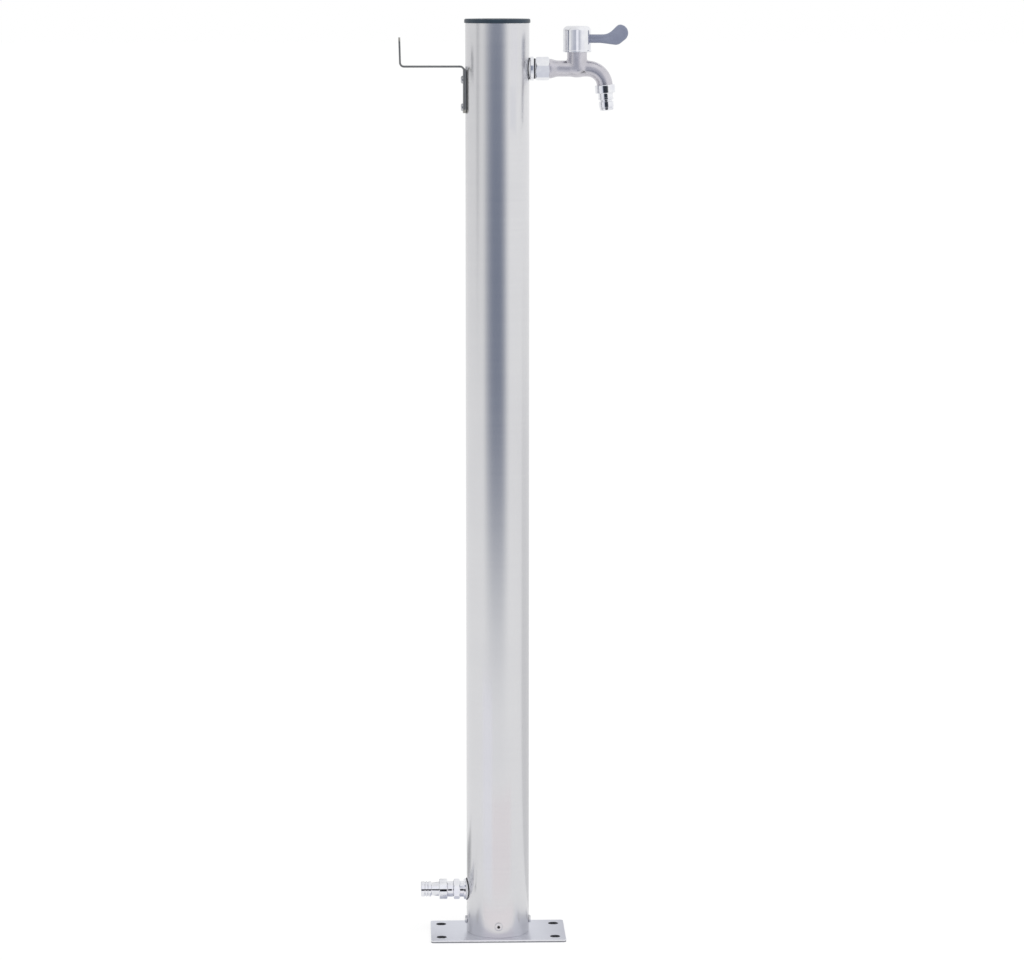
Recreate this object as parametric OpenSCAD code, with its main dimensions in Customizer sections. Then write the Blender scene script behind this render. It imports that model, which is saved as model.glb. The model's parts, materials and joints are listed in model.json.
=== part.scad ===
// Garden standpipe: a stainless steel column on a floor plate, fed through a plug near its
// foot, with a quarter turn tap and a hose hook near its top.
// Millimetres, +Z up. The origin is the column's axis on the underside of the floor plate.
// +X runs towards the tap, -Y towards the front.

/* [Column] */
// Outer diameter of the column tube
column_d = 65; // [62:1:76]
// Wall of the column tube
column_wall = 1.5; // [1:0.1:2.5]
// Height from the floor to the top of the cap
overall_h = 950; // [500:10:1300]
// Thickness of the cap's flange
cap_t = 4.5; // [2:0.5:10]
// How far the cap's flange stands proud of the tube
cap_overhang = 1; // [0:0.25:3]
// Radius of the cap's top edge
cap_edge_r = 1.5; // [0.5:0.25:2]
// Depth of the cap's skirt inside the tube
cap_skirt_h = 20; // [8:1:28]
// Wall of the cap's skirt
cap_skirt_t = 2; // [1:0.5:4]

/* [Floor plate] */
// Length of the floor plate, left to right
plate_w = 140; // [134:1:220]
// Depth of the floor plate, front to back
plate_depth = 80; // [70:1:160]
// Thickness of the floor plate
plate_t = 3; // [2:0.5:8]
// Corner radius of the floor plate
plate_corner_r = 3; // [1:0.5:8]
// Distance from the plate's left and right edges to the middle of a floor hole
hole_inset_x = 11; // [8:0.5:14]
// Distance from the plate's front and back edges to the middle of a floor hole
hole_inset_y = 14; // [8:0.5:16]
// Diameter of the floor holes
hole_d = 10.5; // [6:0.5:12]

/* [Foot socket] */
// Height of the socket ring welded to the plate
spigot_h = 24; // [14:1:30]
// Wall of the socket ring
spigot_wall = 3; // [2:0.5:5]
// Leg of the weld inside the socket ring
weld_leg = 2.5; // [1:0.5:4]
// Diameter of the foot screws
foot_screw_d = 5; // [4:0.5:6]
// Diameter of a foot screw's head
foot_head_d = 8.4; // [8:0.1:10]
// Height of a foot screw's head
foot_head_h = 1.9; // [1.2:0.1:3]

/* [Hose hook] */
// Drop of the hook's arm below the top of the cap
hook_drop = 48.3; // [20:0.1:200]
// Reach from the tube to the middle of the upright
hook_reach = 66; // [40:0.1:120]
// Height of the upright's end above the arm
hook_up_h = 29.5; // [15:0.5:60]
// Length of the hook's plate below the arm
hook_plate_l = 47; // [46:1:80]
// Width of the hook's strip
hook_w = 20; // [14:1:30]
// Thickness of the hook's strip
hook_t = 2; // [1.5:0.25:4]
// Inner radius of the hook's bends
hook_bend_r = 3; // [1:0.5:6]
// Corner radius of the strip's ends
hook_corner_r = 5; // [1:0.5:7]
// Lean of the upright away from the column, in degrees
hook_lean = 1.5; // [0:0.5:8]
// Drop of the upper hook screw below the arm
hook_screw_drop = 13.3; // [12:0.1:16]
// Spacing of the two hook screws
hook_screw_pitch = 27.8; // [14:0.1:29]
// Diameter of the hook screws
hook_screw_d = 5; // [4:0.5:5.5]
// Diameter of a hook screw's head
hook_head_d = 8; // [7:0.1:10]
// Height of a hook screw's head
hook_head_h = 2.1; // [1.5:0.1:3]

/* [Pipe fittings] */
// Diameter of the pipe threads
pipe_d = 16.6; // [15:0.1:17]
// Bore through the pipe fittings
pipe_bore = 9; // [6:0.5:10]
// Across flats of the locknuts inside the column
locknut_af = 22; // [20:0.5:24]
// Thickness of the locknuts
locknut_t = 4; // [3:0.5:6]
// Outer radius of an elbow's body
elbow_r = 9.5; // [9:0.5:11]
// Outer radius of the bead on an elbow's socket
bead_r = 11; // [9.5:0.5:13]
// Length of the bead on an elbow's socket
bead_l = 6; // [3:0.5:9]
// Length from an elbow's corner to the end of its threaded leg
elbow_leg = 26; // [24:1:36]

/* [Inlet] */
// Height of the inlet's axis above the floor
inlet_z = 47.5; // [44:0.5:120]
// Diameter of the inlet's gasket
inlet_gasket_d = 23; // [19:0.5:26]
// Diameter of the bulkhead's flange
inlet_flange_d = 21.5; // [18:0.5:26]
// Thickness of the bulkhead's flange
inlet_flange_t = 2.1; // [1:0.1:4]
// Diameter of the bulkhead's neck
inlet_neck_d = 17; // [14:0.5:18]
// Length of the bulkhead's neck
inlet_neck_l = 4; // [2:0.5:10]
// Across flats of the bulkhead's hexagon
inlet_hex_af = 19; // [15:0.1:21]
// Length of the bulkhead's hexagon
inlet_hex_l = 6.8; // [6:0.2:10]
// Diameter of the plug's thread in the hexagon
plug_thread_d = 12; // [11:0.5:13]
// Diameter of the plug's waist
plug_waist_d = 16.4; // [14:0.2:18]
// Length of the plug's waist
plug_waist_l = 6.4; // [3:0.2:10]
// Diameter of the plug's collar
plug_collar_d = 21.2; // [18:0.2:24]
// Length of the plug's collar
plug_collar_l = 8.4; // [4:0.2:12]
// Diameter of the plug's tapered neck at the collar
plug_neck_d = 15.2; // [13:0.2:16]
// Diameter of the plug's tapered neck at the tip
plug_neck_end_d = 13; // [11.4:0.2:13.4]
// Length of the plug's tapered neck
plug_neck_l = 8.4; // [4:0.2:14]
// Diameter of the plug's tip
plug_tip_d = 15.6; // [13.4:0.2:17]
// Length of the plug's tip
plug_tip_l = 10.8; // [8:0.2:16]

/* [Hose inside the column] */
// Bore of the hose
hose_bore = 8; // [6.4:0.2:9]
// Wall of the hose
hose_wall = 2; // [1:0.25:2.5]
// Thickness of the steel braid round the hose
braid_t = 0.4; // [0.2:0.1:0.8]
// Wall of the ferrules
ferrule_t = 1; // [0.5:0.25:1.5]
// Length of the ferrules
ferrule_l = 22; // [12:1:40]
// Across flats of the hose nuts
hose_nut_af = 21; // [20:0.5:26]

/* [Outlet] */
// Diameter of the outlet's gasket
outlet_gasket_d = 21.5; // [20:0.5:28]
// Diameter of the outlet's clamping ring
outlet_ring_d = 24.4; // [20:0.2:28]
// Thickness of the clamping ring
outlet_ring_t = 3.4; // [2:0.2:5]
// Diameter of the seal behind the coupling
outlet_seal_d = 20.6; // [19:0.2:23]
// Thickness of the seal behind the coupling
outlet_seal_t = 2; // [1:0.25:4]
// Across flats of the coupling
coupling_af = 21.4; // [20:0.2:27]
// Angle of the coupling's front corner above the level, in degrees
coupling_roll = 15; // [0:1:30]
// Length of the coupling
coupling_l = 14; // [12:0.5:24]

/* [Tap body] */
// Drop of the tap's axis below the top of the cap
tap_drop = 50.5; // [45:0.5:200]
// Distance from the coupling to the tap's upright axis
tap_stem = 28; // [24:0.5:45]
// Length of the tap's threaded tail
tail_l = 6.5; // [4:0.5:7]
// Diameter of the shoulder outside the coupling
shoulder_d = 20; // [17:0.5:22]
// Length of the shoulder
shoulder_l = 1.4; // [0.8:0.2:3]
// Length of the cone from the shoulder to the barrel
cone_l = 6.5; // [4:0.5:8]
// Outer diameter of the barrel and the spout
spout_d = 16.2; // [14:0.2:17]
// Distance from the upright axis to the start of the bend
spout_run = 10.5; // [10:0.5:24]
// Radius of the bend's centre line
spout_bend_r = 17.8; // [12:0.2:26]
// Angle of the bend, in degrees
spout_turn = 85.3; // [60:0.1:90]
// Outer diameter of the upright neck
neck_d = 20.2; // [19.4:0.2:22]
// Height of the neck's top above the barrel's axis
neck_h = 18.5; // [18.1:0.1:22]

/* [Cartridge] */
// Diameter of the cartridge's thread in the neck
cartridge_d = 16; // [15.6:0.1:16.4]
// Height of the seat above the barrel's axis
seat_h = 6.5; // [6.2:0.1:6.6]
// Thickness of the seat's rubber ring
seat_seal_t = 1.2; // [0.8:0.1:1.3]
// Thickness of the fixed ceramic disc
fixed_disc_t = 2.5; // [2:0.1:2.6]
// Thickness of the moving ceramic disc
moving_disc_t = 3.5; // [3:0.1:3.6]
// Diameter of the ceramic discs
disc_d = 11.6; // [11:0.1:11.8]
// Across flats of the cartridge's hexagon
cartridge_af = 19; // [17.5:0.1:20]
// Height of the cartridge's hexagon
cartridge_hex_h = 3.5; // [2.5:0.1:4.5]
// Diameter of the spindle
spindle_d = 7; // [6.6:0.1:7.4]

/* [Handle] */
// Height of the dome's rim above the barrel's axis
dome_rim_h = 16.5; // [15.5:0.1:17]
// Height of the dome
dome_h = 26.4; // [25.8:0.1:30]
// Outer diameter of the dome
dome_d = 28.4; // [27:0.2:34]
// Wall of the dome
dome_wall = 2; // [1.5:0.1:2.2]
// Radius of the dome's top edge
dome_edge_r = 5; // [1:0.5:6]
// How far the dome's lip stands out
lip_out = 0.3; // [0.2:0.1:1.5]
// Height of the dome's lip
lip_h = 2; // [1:0.2:4]
// Height of the lever's stem
stem_h = 8.6; // [7:0.1:10.5]
// Thickness of the lever's stem
stem_t = 6; // [4:0.2:8]
// Reach of the lever's tip from the upright axis
lever_reach = 51.8; // [40:0.2:80]
// Radius of the lever's round tip
lever_tip_r = 8.5; // [6:0.1:9]
// How far the lever's tip rises above its stem
lever_rise = 9.9; // [6:0.1:18]
// Diameter of the screw that holds the handle
handle_screw_d = 3.5; // [3:0.1:3.6]

/* [Nozzle] */
// Diameter of the nozzle's collar
nozzle_collar_d = 20.4; // [16:0.2:22]
// Length of the nozzle's collar
nozzle_collar_l = 8.4; // [8:0.1:12]
// Diameter of the nozzle's neck
nozzle_neck_d = 14.8; // [12.6:0.2:16]
// Length of the nozzle's neck
nozzle_neck_l = 4.6; // [2:0.1:8]
// Diameter of the nozzle's tip
nozzle_tip_d = 14.8; // [12:0.2:16]
// Length of the nozzle's tip
nozzle_tip_l = 5.8; // [3:0.1:9]
// Bore of the nozzle
nozzle_bore = 8; // [6:0.5:9]

/* [Fits] */
// Gap in threads and on pins, on the radius
thread_gap = 0.05; // [0.02:0.01:0.08]
// Running gap between moving pieces, on the radius
run_gap = 0.05; // [0.02:0.01:0.08]
// Slip gap between pieces pushed into each other, on the radius
slip_gap = 0.2; // [0.1:0.05:0.4]
// Gap between a screw and the hole that it passes through, on the radius
screw_gap = 0.2; // [0.1:0.05:0.3]
// Thickness of the rubber gaskets at the column's wall
gasket_t = 0.9; // [0.5:0.1:3]
// Thickness of the flat seals inside the fittings
seal_t = 1.5; // [1:0.25:2]

/* [Hidden] */
$fn = 64;

// One overrun for every cut
over = 1;
// Colours
STEEL = "#c9ccd2";
PLATE = "#cdd0da";
CHROME = "#e3e6ea";
SATIN = "#b4b2b5";
SLATE = "#3d4450";
LEVER = "#7d8398";
HOOK = "#7a7b7e";
RUBBER = "#1d1d1f";
BRASS = "#b99a5b";
CERAMIC = "#ece9e2";
HOSE = "#303338";
BRAID = "#a9adb2";

// Floor plate
hole_pitch_x = plate_w - 2 * hole_inset_x;
hole_pitch_y = plate_depth - 2 * hole_inset_y;

// Column
column_r = column_d / 2;
column_ri = column_r - column_wall;
tube_top = overall_h - cap_t;
cap_rib_w = 2;
cap_rib_n = 8;
cap_rib_gap = 0.05;

// Foot screws sit half way up the socket ring
spigot_r = column_ri - slip_gap;
foot_screw_z = plate_t + spigot_h / 2;
foot_screw_l = column_wall + slip_gap + spigot_wall + over;
foot_socket_af = 3;
foot_socket_depth = 1.1;

// Hook
rivet_flange_t = 0.4;
rivet_flange_d = 9.6;
rivet_body_d = 7;
rivet_bulge_d = 9.2;
rivet_bulge_l = 3;
rivet_l = 12;
hook_screw_l = 10;
hook_socket_af = 3;
hook_socket_depth = 1.2;
hook_z = overall_h - hook_drop;
hook_plate_x = column_r + rivet_flange_t;
hook_mid_r = hook_bend_r + hook_t / 2;
hook_up_x = column_r + hook_reach;
hook_screw_zs = [hook_z - hook_screw_drop, hook_z - hook_screw_drop - hook_screw_pitch];

// Pipe fittings, measured outwards from the column's axis
pipe_r = pipe_d / 2;
pipe_bore_r = pipe_bore / 2;
bend_bore_r = pipe_bore_r - 2 * thread_gap;
locknut_r = locknut_af / 2 / cos(30);
locknut_x = sqrt(column_ri * column_ri - locknut_r * locknut_r) - locknut_t;
socket_face = locknut_x - slip_gap;
socket_l = 10;
socket_stop = socket_face - socket_l;
hex_chamfer = 0.6;
ring_chamfer = 0.5;

// Inlet stack
inlet_flange_x = column_r + gasket_t;
inlet_neck_x = inlet_flange_x + inlet_flange_t;
inlet_hex_x = inlet_neck_x + inlet_neck_l;
plug_x = inlet_hex_x + inlet_hex_l;
plug_thread_l = inlet_hex_l - seal_t;
plug_collar_x = plug_x + plug_waist_l;
plug_neck_x = plug_collar_x + plug_collar_l;
plug_tip_x = plug_neck_x + plug_neck_l;
plug_end_x = plug_tip_x + plug_tip_l;
plug_groove_w = 1;
plug_groove_depth = 0.7;
plug_land = 2;
plug_edge_r = 1;

// Outlet stack
outlet_ring_x = column_r + gasket_t;
outlet_seal_x = outlet_ring_x + outlet_ring_t;
coupling_x = outlet_seal_x + outlet_seal_t;
tail_face_x = coupling_x + coupling_l;
outlet_thread_end = tail_face_x - tail_l - slip_gap;
tap_x = tail_face_x + tap_stem;
tap_z = overall_h - tap_drop;

// Hose ends, measured from an elbow's corner along the column's axis
hose_r = hose_bore / 2 + hose_wall;
braid_r = hose_r + braid_t;
nipple_collar_s = elbow_leg + seal_t;
nipple_collar_t = 1.5;
nut_roof_s = nipple_collar_s + nipple_collar_t;
nut_roof_t = 2.5;
nut_thread_l = 12;
nipple_neck_r = 5.6;
nipple_neck_l = 4.5;
hose_start_s = nut_roof_s + nipple_neck_l;
ferrule_end_t = 1;
nipple_wall = 1;
nipple_r = hose_bore / 2;

// Tap body, measured from the upright axis at the barrel's height
spout_r = spout_d / 2;
neck_r = neck_d / 2;
belly_out = 1.2;
belly_r = spout_r + belly_out;
inlet_bore_end = 3.4;
outlet_bore_start = 5.2;
seat_port_r = 3.4;
seat_boss_r = 5.4;
chamber_floor_h = 5;
chamber_r = cartridge_d / 2;
passage_w = 7;
exit_thread_d = 12;
exit_thread_l = 6.5;
exit_root = 1.5;
exit_x = spout_run + spout_bend_r * cos(90 - spout_turn);
exit_z = spout_bend_r * sin(90 - spout_turn) - spout_bend_r;

// Cartridge
disc_r = disc_d / 2;
disc_room_r = disc_r + slip_gap;
skirt_clear = 0.8;
skirt_r = chamber_r - skirt_clear;
skirt_bottom_h = seat_h - slip_gap;
fixed_disc_h = seat_h + seat_seal_t;
moving_disc_h = fixed_disc_h + fixed_disc_t;
spindle_foot_h = moving_disc_h + moving_disc_t;
spindle_foot_t = 1.8;
foot_room_h = spindle_foot_h + spindle_foot_t + 2 * run_gap;
window_h = 2.4;
window_w = 6;
disc_port_r = 1.5;
disc_port_x = 3;
disc_slot_w = 3.4;
disc_slot_h = 1.4;
tang_w = 2.4;
tang_h = 1.2;
thread_start_h = moving_disc_h + window_h;
o_ring_w = 1.1;
o_ring_h = 1;
bonnet_r = 5.5;
bonnet_h = 5.5;
hex_top_h = neck_h + cartridge_hex_h;
bonnet_top_h = hex_top_h + bonnet_h;
spindle_r = spindle_d / 2;
groove_w = 1.8;
groove_depth = 1;
groove_r = spindle_r - groove_depth;
ring_lows = [foot_room_h + groove_w, foot_room_h + 3 * groove_w];
clip_t = 0.8;
clip_out = 1.2;
clip_r = spindle_r + clip_out;
clip_h = bonnet_top_h + 2 * run_gap;
clip_groove_depth = 0.6;
clip_groove_r = spindle_r - clip_groove_depth;
clip_opening = 3;
spline_n = 12;
spline_depth = 0.5;
spline_r = spindle_r - 2 * thread_gap;
spline_low_h = clip_h + clip_t + slip_gap;
spline_l = 8;
spindle_top_h = spline_low_h + spline_l;
tapped_l = 7.5;

// Handle
dome_r = dome_d / 2;
dome_top_h = dome_rim_h + dome_h;
hub_wall = 2.6;
hub_r = spindle_r + hub_wall;
hub_web_h = spindle_top_h + slip_gap;
hub_web_t = 1.6;
roof_t = 4;
handle_head_d = 6.8;
handle_head_h = 2;
handle_socket_af = 2.5;
handle_socket_depth = 1.2;
head_clear = 0.9;
counterbore_r = handle_head_d / 2 + head_clear;
cap_disc_t = 1.2;
cap_ring_h = 1;
stem_low_h = 25.8;
stem_top_h = stem_low_h + stem_h;
root_wider = 2;
root_taller = 1.4;
root_back_x = hub_r + slip_gap;
root_front_x = sqrt(pow(dome_r - dome_wall, 2) - pow((stem_t + root_wider) / 2, 2)) - slip_gap;
stem_groove_w = 2;
stem_groove_depth = 0.6;
stem_groove_x = dome_r + slip_gap;
tip_x = lever_reach - lever_tip_r;
tip_h = stem_top_h + lever_rise - lever_tip_r;
heel_back = 4.3;
heel_x = tip_x - heel_back;
heel_drop = 2;
heel_h = stem_low_h + lever_tip_r - heel_drop;
rise_lead = 6.8;
rise_start_x = heel_x - lever_tip_r - rise_lead;
rise_power = 1.7;
tip_arc = 145;
heel_arc = 180 - tip_arc;
lever_steps = 14;

// Nozzle, measured along the spout's exit
nozzle_lip_d = 15.6;
nozzle_lip_l = 2;
nozzle_groove_d = 12.6;
nozzle_groove_l = 1.9;
nozzle_end_gap = 0.8;
nozzle_end_l = 2.3;
nozzle_end_d = 13;
nozzle_neck_s = nozzle_collar_l;
nozzle_lip_s = nozzle_neck_s + nozzle_neck_l;
nozzle_groove_s = nozzle_lip_s + nozzle_lip_l;
nozzle_tip_s = nozzle_groove_s + nozzle_groove_l;
nozzle_end_s = nozzle_tip_s + nozzle_tip_l + nozzle_end_gap;
nozzle_end = nozzle_end_s + nozzle_end_l;
nozzle_washer_t = 1;
nozzle_edge_r = 1.2;

// Shapes that repeat

// A tube along +Z
module tube(r_out, r_in, h) {
    difference() {
        cylinder(r = r_out, h = h);
        translate([0, 0, -over]) cylinder(r = r_in, h = h + 2 * over);
    }
}

// A disc with a rounded top edge
module round_disc(r, h, edge_r) {
    rotate_extrude() {
        square([r, h - edge_r]);
        square([r - edge_r, h]);
        translate([r - edge_r, h - edge_r])
            intersection() {
                circle(r = edge_r);
                square([edge_r, edge_r]);
            }
    }
}

// A solid turned about +Z, from its outline's radii and heights, lowest first
module turned(points) {
    rotate_extrude()
        polygon(concat([[0, points[0][1]]], points, [[0, points[len(points) - 1][1]]]));
}

// The four outline points of a disc with both edges chamfered
function chamfered(r, low, h, chamfer) = [
    [r - chamfer, low], [r, low + chamfer], [r, low + h - chamfer], [r - chamfer, low + h]
];

// The two outline points of a plain stretch
function plain(r, low, h) = [[r, low], [r, low + h]];

// A disc with both edges chamfered
module chamfer_disc(r, h, chamfer) {
    turned(chamfered(r, 0, h, chamfer));
}

// A hexagon with its corners turned off at both ends
module hex_block(af, h) {
    corner_r = af / 2 / cos(30);
    intersection() {
        cylinder(r = corner_r, h = h, $fn = 6);
        chamfer_disc(corner_r, h, hex_chamfer);
    }
}

module hex_nut(af, h, bore_r) {
    difference() {
        hex_block(af, h);
        translate([0, 0, -over]) cylinder(r = bore_r, h = h + 2 * over);
    }
}

// A pan head screw: the head stands on z = 0 and the shank hangs below it
module pan_screw(d, l, head_d, head_h, socket_af, socket_depth) {
    difference() {
        union() {
            round_disc(head_d / 2, head_h, head_h / 2);
            translate([0, 0, -l]) cylinder(d = d, h = l);
        }
        translate([0, 0, head_h - socket_depth])
            cylinder(d = socket_af / cos(30), h = socket_depth + over, $fn = 6);
    }
}

// A flat rectangle with round corners
module round_rect(w, d, r) {
    square([w - 2 * r, d], center = true);
    square([w, d - 2 * r], center = true);
    for (sx = [-1, 1]) {
        for (sy = [-1, 1]) {
            translate([sx * (w / 2 - r), sy * (d / 2 - r)]) circle(r = r);
        }
    }
}

// Frames: local +Z runs outwards along a fitting, from the column's axis
module at_inlet() {
    translate([0, 0, inlet_z]) rotate([0, -90, 0]) children();
}

module at_outlet() {
    translate([0, 0, tap_z]) rotate([0, 90, 0]) children();
}

// Local origin on the tap's upright axis at the barrel's height
module at_tap() {
    translate([tap_x, 0, tap_z]) children();
}

// Local +Z runs down the spout's exit
module at_exit() {
    at_tap() translate([exit_x, 0, exit_z]) rotate([0, 90 + spout_turn, 0]) children();
}

// Local +Z runs from an elbow's corner into the column
module at_bottom_hose() {
    translate([0, 0, inlet_z]) children();
}

module at_top_hose() {
    translate([0, 0, tap_z]) rotate([0, 180, 0]) children();
}

// Local +Z runs outwards through a foot screw
module at_foot_screws() {
    for (a = [0, 90, 180, 270]) {
        rotate([0, 0, a])
            translate([column_r, 0, foot_screw_z]) rotate([0, 90, 0]) children();
    }
}

// Local +Z runs outwards through a hook screw, from the tube's surface
module at_hook_screws() {
    for (z = hook_screw_zs) {
        translate([-column_r, 0, z]) rotate([0, -90, 0]) children();
    }
}

// Foot

module base_plate() {
    color(PLATE)
    difference() {
        linear_extrude(plate_t) round_rect(plate_w, plate_depth, plate_corner_r);
        for (sx = [-1, 1]) {
            for (sy = [-1, 1]) {
                translate([sx * hole_pitch_x / 2, sy * hole_pitch_y / 2, -over])
                    cylinder(d = hole_d, h = plate_t + 2 * over);
            }
        }
    }
}

module foot_spigot() {
    color(STEEL)
    difference() {
        translate([0, 0, plate_t]) {
            tube(spigot_r, spigot_r - spigot_wall, spigot_h);
            difference() {
                cylinder(r = spigot_r - spigot_wall / 2, h = weld_leg);
                cylinder(r1 = spigot_r - spigot_wall - weld_leg, r2 = spigot_r - spigot_wall,
                         h = weld_leg);
            }
        }
        at_foot_screws() translate([0, 0, -foot_screw_l - over])
            cylinder(r = foot_screw_d / 2 + thread_gap, h = foot_screw_l);
    }
}

module foot_screws() {
    color(CHROME)
    at_foot_screws()
        pan_screw(foot_screw_d, foot_screw_l, foot_head_d, foot_head_h,
                  foot_socket_af, foot_socket_depth);
}

// Column

module column_tube() {
    color(STEEL)
    difference() {
        translate([0, 0, plate_t]) tube(column_r, column_ri, tube_top - plate_t);
        at_foot_screws() translate([0, 0, -2 * column_wall])
            cylinder(r = foot_screw_d / 2 + screw_gap, h = 3 * column_wall);
        at_hook_screws() translate([0, 0, -2 * column_wall])
            cylinder(r = rivet_body_d / 2 + thread_gap, h = 3 * column_wall);
        at_inlet() cylinder(r = pipe_r + slip_gap, h = column_d);
        at_outlet() cylinder(r = pipe_r + slip_gap, h = column_d);
    }
}

module top_cap() {
    skirt_r_out = column_ri - slip_gap;
    color(SLATE) {
        translate([0, 0, tube_top]) round_disc(column_r + cap_overhang, cap_t, cap_edge_r);
        translate([0, 0, tube_top - cap_skirt_h])
            tube(skirt_r_out, skirt_r_out - cap_skirt_t, cap_skirt_h);
        for (i = [0 : cap_rib_n - 1]) {
            rotate([0, 0, (i + 0.5) * 360 / cap_rib_n])
                translate([skirt_r_out - cap_skirt_t / 2, -cap_rib_w / 2, tube_top - cap_skirt_h])
                    cube([cap_skirt_t / 2 + slip_gap - cap_rib_gap, cap_rib_w, cap_skirt_h]);
        }
    }
}

// Hook: local x runs along X, local y upwards and local z across the strip

// A flat strip that starts square and ends with round corners, along local +Y
module strip_end(l) {
    translate([-hook_t / 2, 0, 0]) rotate([0, 90, 0]) linear_extrude(hook_t) {
        translate([-hook_w / 2, 0]) square([hook_w, l - hook_corner_r]);
        translate([-hook_w / 2 + hook_corner_r, 0]) square([hook_w - 2 * hook_corner_r, l]);
        for (s = [-1, 1]) {
            translate([s * (hook_w / 2 - hook_corner_r), l - hook_corner_r])
                circle(r = hook_corner_r);
        }
    }
}

// A bend that sweeps from local +X through an angle about local Z
module strip_bend(angle) {
    rotate_extrude(angle = angle)
        translate([hook_bend_r, -hook_w / 2]) square([hook_t, hook_w]);
}

module hose_hook() {
    plate_mid = -hook_plate_x - hook_t / 2;
    arm_from = -hook_up_x + hook_mid_r;
    arm_to = plate_mid - hook_mid_r;
    color(HOOK)
    difference() {
        translate([0, 0, hook_z]) rotate([90, 0, 0]) {
            translate([plate_mid, -hook_mid_r, 0]) rotate([0, 0, 180])
                strip_end(hook_plate_l - hook_mid_r);
            translate([arm_to, -hook_mid_r, 0]) strip_bend(90);
            translate([arm_from, -hook_t / 2, -hook_w / 2])
                cube([arm_to - arm_from, hook_t, hook_w]);
            translate([arm_from, hook_mid_r, 0]) {
                rotate([0, 0, 180 + hook_lean]) strip_bend(90 - hook_lean);
                rotate([0, 0, hook_lean]) translate([-hook_mid_r, 0, 0])
                    strip_end(hook_up_h - hook_mid_r);
            }
        }
        at_hook_screws() cylinder(r = hook_screw_d / 2 + screw_gap, h = hook_t + 2 * over);
    }
}

module hook_screws() {
    color(CHROME)
    at_hook_screws() translate([0, 0, rivet_flange_t + hook_t])
        pan_screw(hook_screw_d, hook_screw_l, hook_head_d, hook_head_h,
                  hook_socket_af, hook_socket_depth);
}

// Rivet nuts: a thin flange outside the tube and a pressed bulge inside it
module hook_rivet_nuts() {
    inner_face = column_r - sqrt(column_ri * column_ri - pow(rivet_bulge_d / 2, 2));
    color(BRASS)
    at_hook_screws() difference() {
        union() {
            cylinder(d = rivet_flange_d, h = rivet_flange_t);
            translate([0, 0, -rivet_l]) cylinder(d = rivet_body_d, h = rivet_l);
            translate([0, 0, -inner_face - rivet_bulge_l])
                cylinder(d = rivet_bulge_d, h = rivet_bulge_l);
        }
        translate([0, 0, -rivet_l - over])
            cylinder(r = hook_screw_d / 2 + thread_gap, h = rivet_l + 3 * over);
    }
}

// Fittings in the column's wall

// A rubber washer whose inner face follows the tube
module saddle_gasket(d) {
    difference() {
        translate([0, 0, column_ri]) cylinder(d = d, h = column_wall + gasket_t);
        translate([0, 0, column_ri - over])
            cylinder(r = pipe_r + slip_gap, h = column_wall + gasket_t + 2 * over);
        translate([-d, 0, 0]) rotate([0, 90, 0]) cylinder(r = column_r, h = 2 * d);
    }
}

module locknut() {
    translate([0, 0, locknut_x]) hex_nut(locknut_af, locknut_t, pipe_r + thread_gap);
}

// A cast elbow: its socket opens along local +X and its threaded leg along local +Z
module elbow() {
    difference() {
        union() {
            sphere(r = elbow_r);
            rotate([0, 90, 0]) cylinder(r = elbow_r, h = socket_face);
            translate([socket_face - bead_l, 0, 0]) rotate([0, 90, 0])
                chamfer_disc(bead_r, bead_l, ring_chamfer);
            cylinder(r = pipe_r, h = elbow_leg);
        }
        sphere(r = pipe_bore_r);
        rotate([0, 90, 0]) cylinder(r = pipe_bore_r, h = socket_face + over);
        translate([socket_stop, 0, 0]) rotate([0, 90, 0])
            cylinder(r = pipe_r + thread_gap, h = socket_l + over);
        cylinder(r = pipe_bore_r, h = elbow_leg + over);
    }
}

// Inlet

module inlet_gasket() {
    color(RUBBER) at_inlet() saddle_gasket(inlet_gasket_d);
}

module inlet_bulkhead() {
    thread_low = socket_stop + slip_gap;
    color(CHROME)
    at_inlet() difference() {
        union() {
            turned(concat(
                plain(pipe_r, thread_low, inlet_flange_x - thread_low),
                chamfered(inlet_flange_d / 2, inlet_flange_x, inlet_flange_t, inlet_flange_t / 4),
                plain(inlet_neck_d / 2, inlet_neck_x, inlet_neck_l + hex_chamfer)
            ));
            translate([0, 0, inlet_hex_x]) hex_block(inlet_hex_af, inlet_hex_l);
        }
        cylinder(r = pipe_bore_r, h = plug_x + over);
        translate([0, 0, inlet_hex_x])
            cylinder(r = plug_thread_d / 2 + thread_gap, h = inlet_hex_l + over);
    }
}

module inlet_locknut() {
    color(BRASS) at_inlet() locknut();
}

module inlet_plug_washer() {
    color(RUBBER)
    at_inlet() translate([0, 0, inlet_hex_x]) tube(plug_thread_d / 2, pipe_bore_r, seal_t);
}

// The plug that a hose coupling is pushed onto
module inlet_plug() {
    color(CHROME)
    at_inlet() difference() {
        turned(concat(
            plain(plug_thread_d / 2, plug_x - plug_thread_l, plug_thread_l),
            plain(plug_waist_d / 2, plug_x, plug_waist_l),
            chamfered(plug_collar_d / 2, plug_collar_x, plug_collar_l, plug_edge_r),
            [[plug_neck_d / 2, plug_neck_x], [plug_neck_end_d / 2, plug_tip_x]],
            chamfered(plug_tip_d / 2, plug_tip_x, plug_tip_l, plug_edge_r)
        ));
        for (i = [1, 2]) {
            translate([0, 0, plug_tip_x + i * (plug_land + plug_groove_w)])
                tube(plug_tip_d, plug_tip_d / 2 - plug_groove_depth, plug_groove_w);
        }
        translate([0, 0, plug_x - plug_thread_l - over])
            cylinder(r = pipe_bore_r, h = plug_end_x - plug_x + plug_thread_l + 2 * over);
    }
}

module inlet_elbow() {
    color(BRASS) at_bottom_hose() mirror([1, 0, 0]) elbow();
}

module outlet_elbow() {
    color(BRASS) at_top_hose() mirror([1, 0, 0]) elbow();
}

// Hose inside the column

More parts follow.
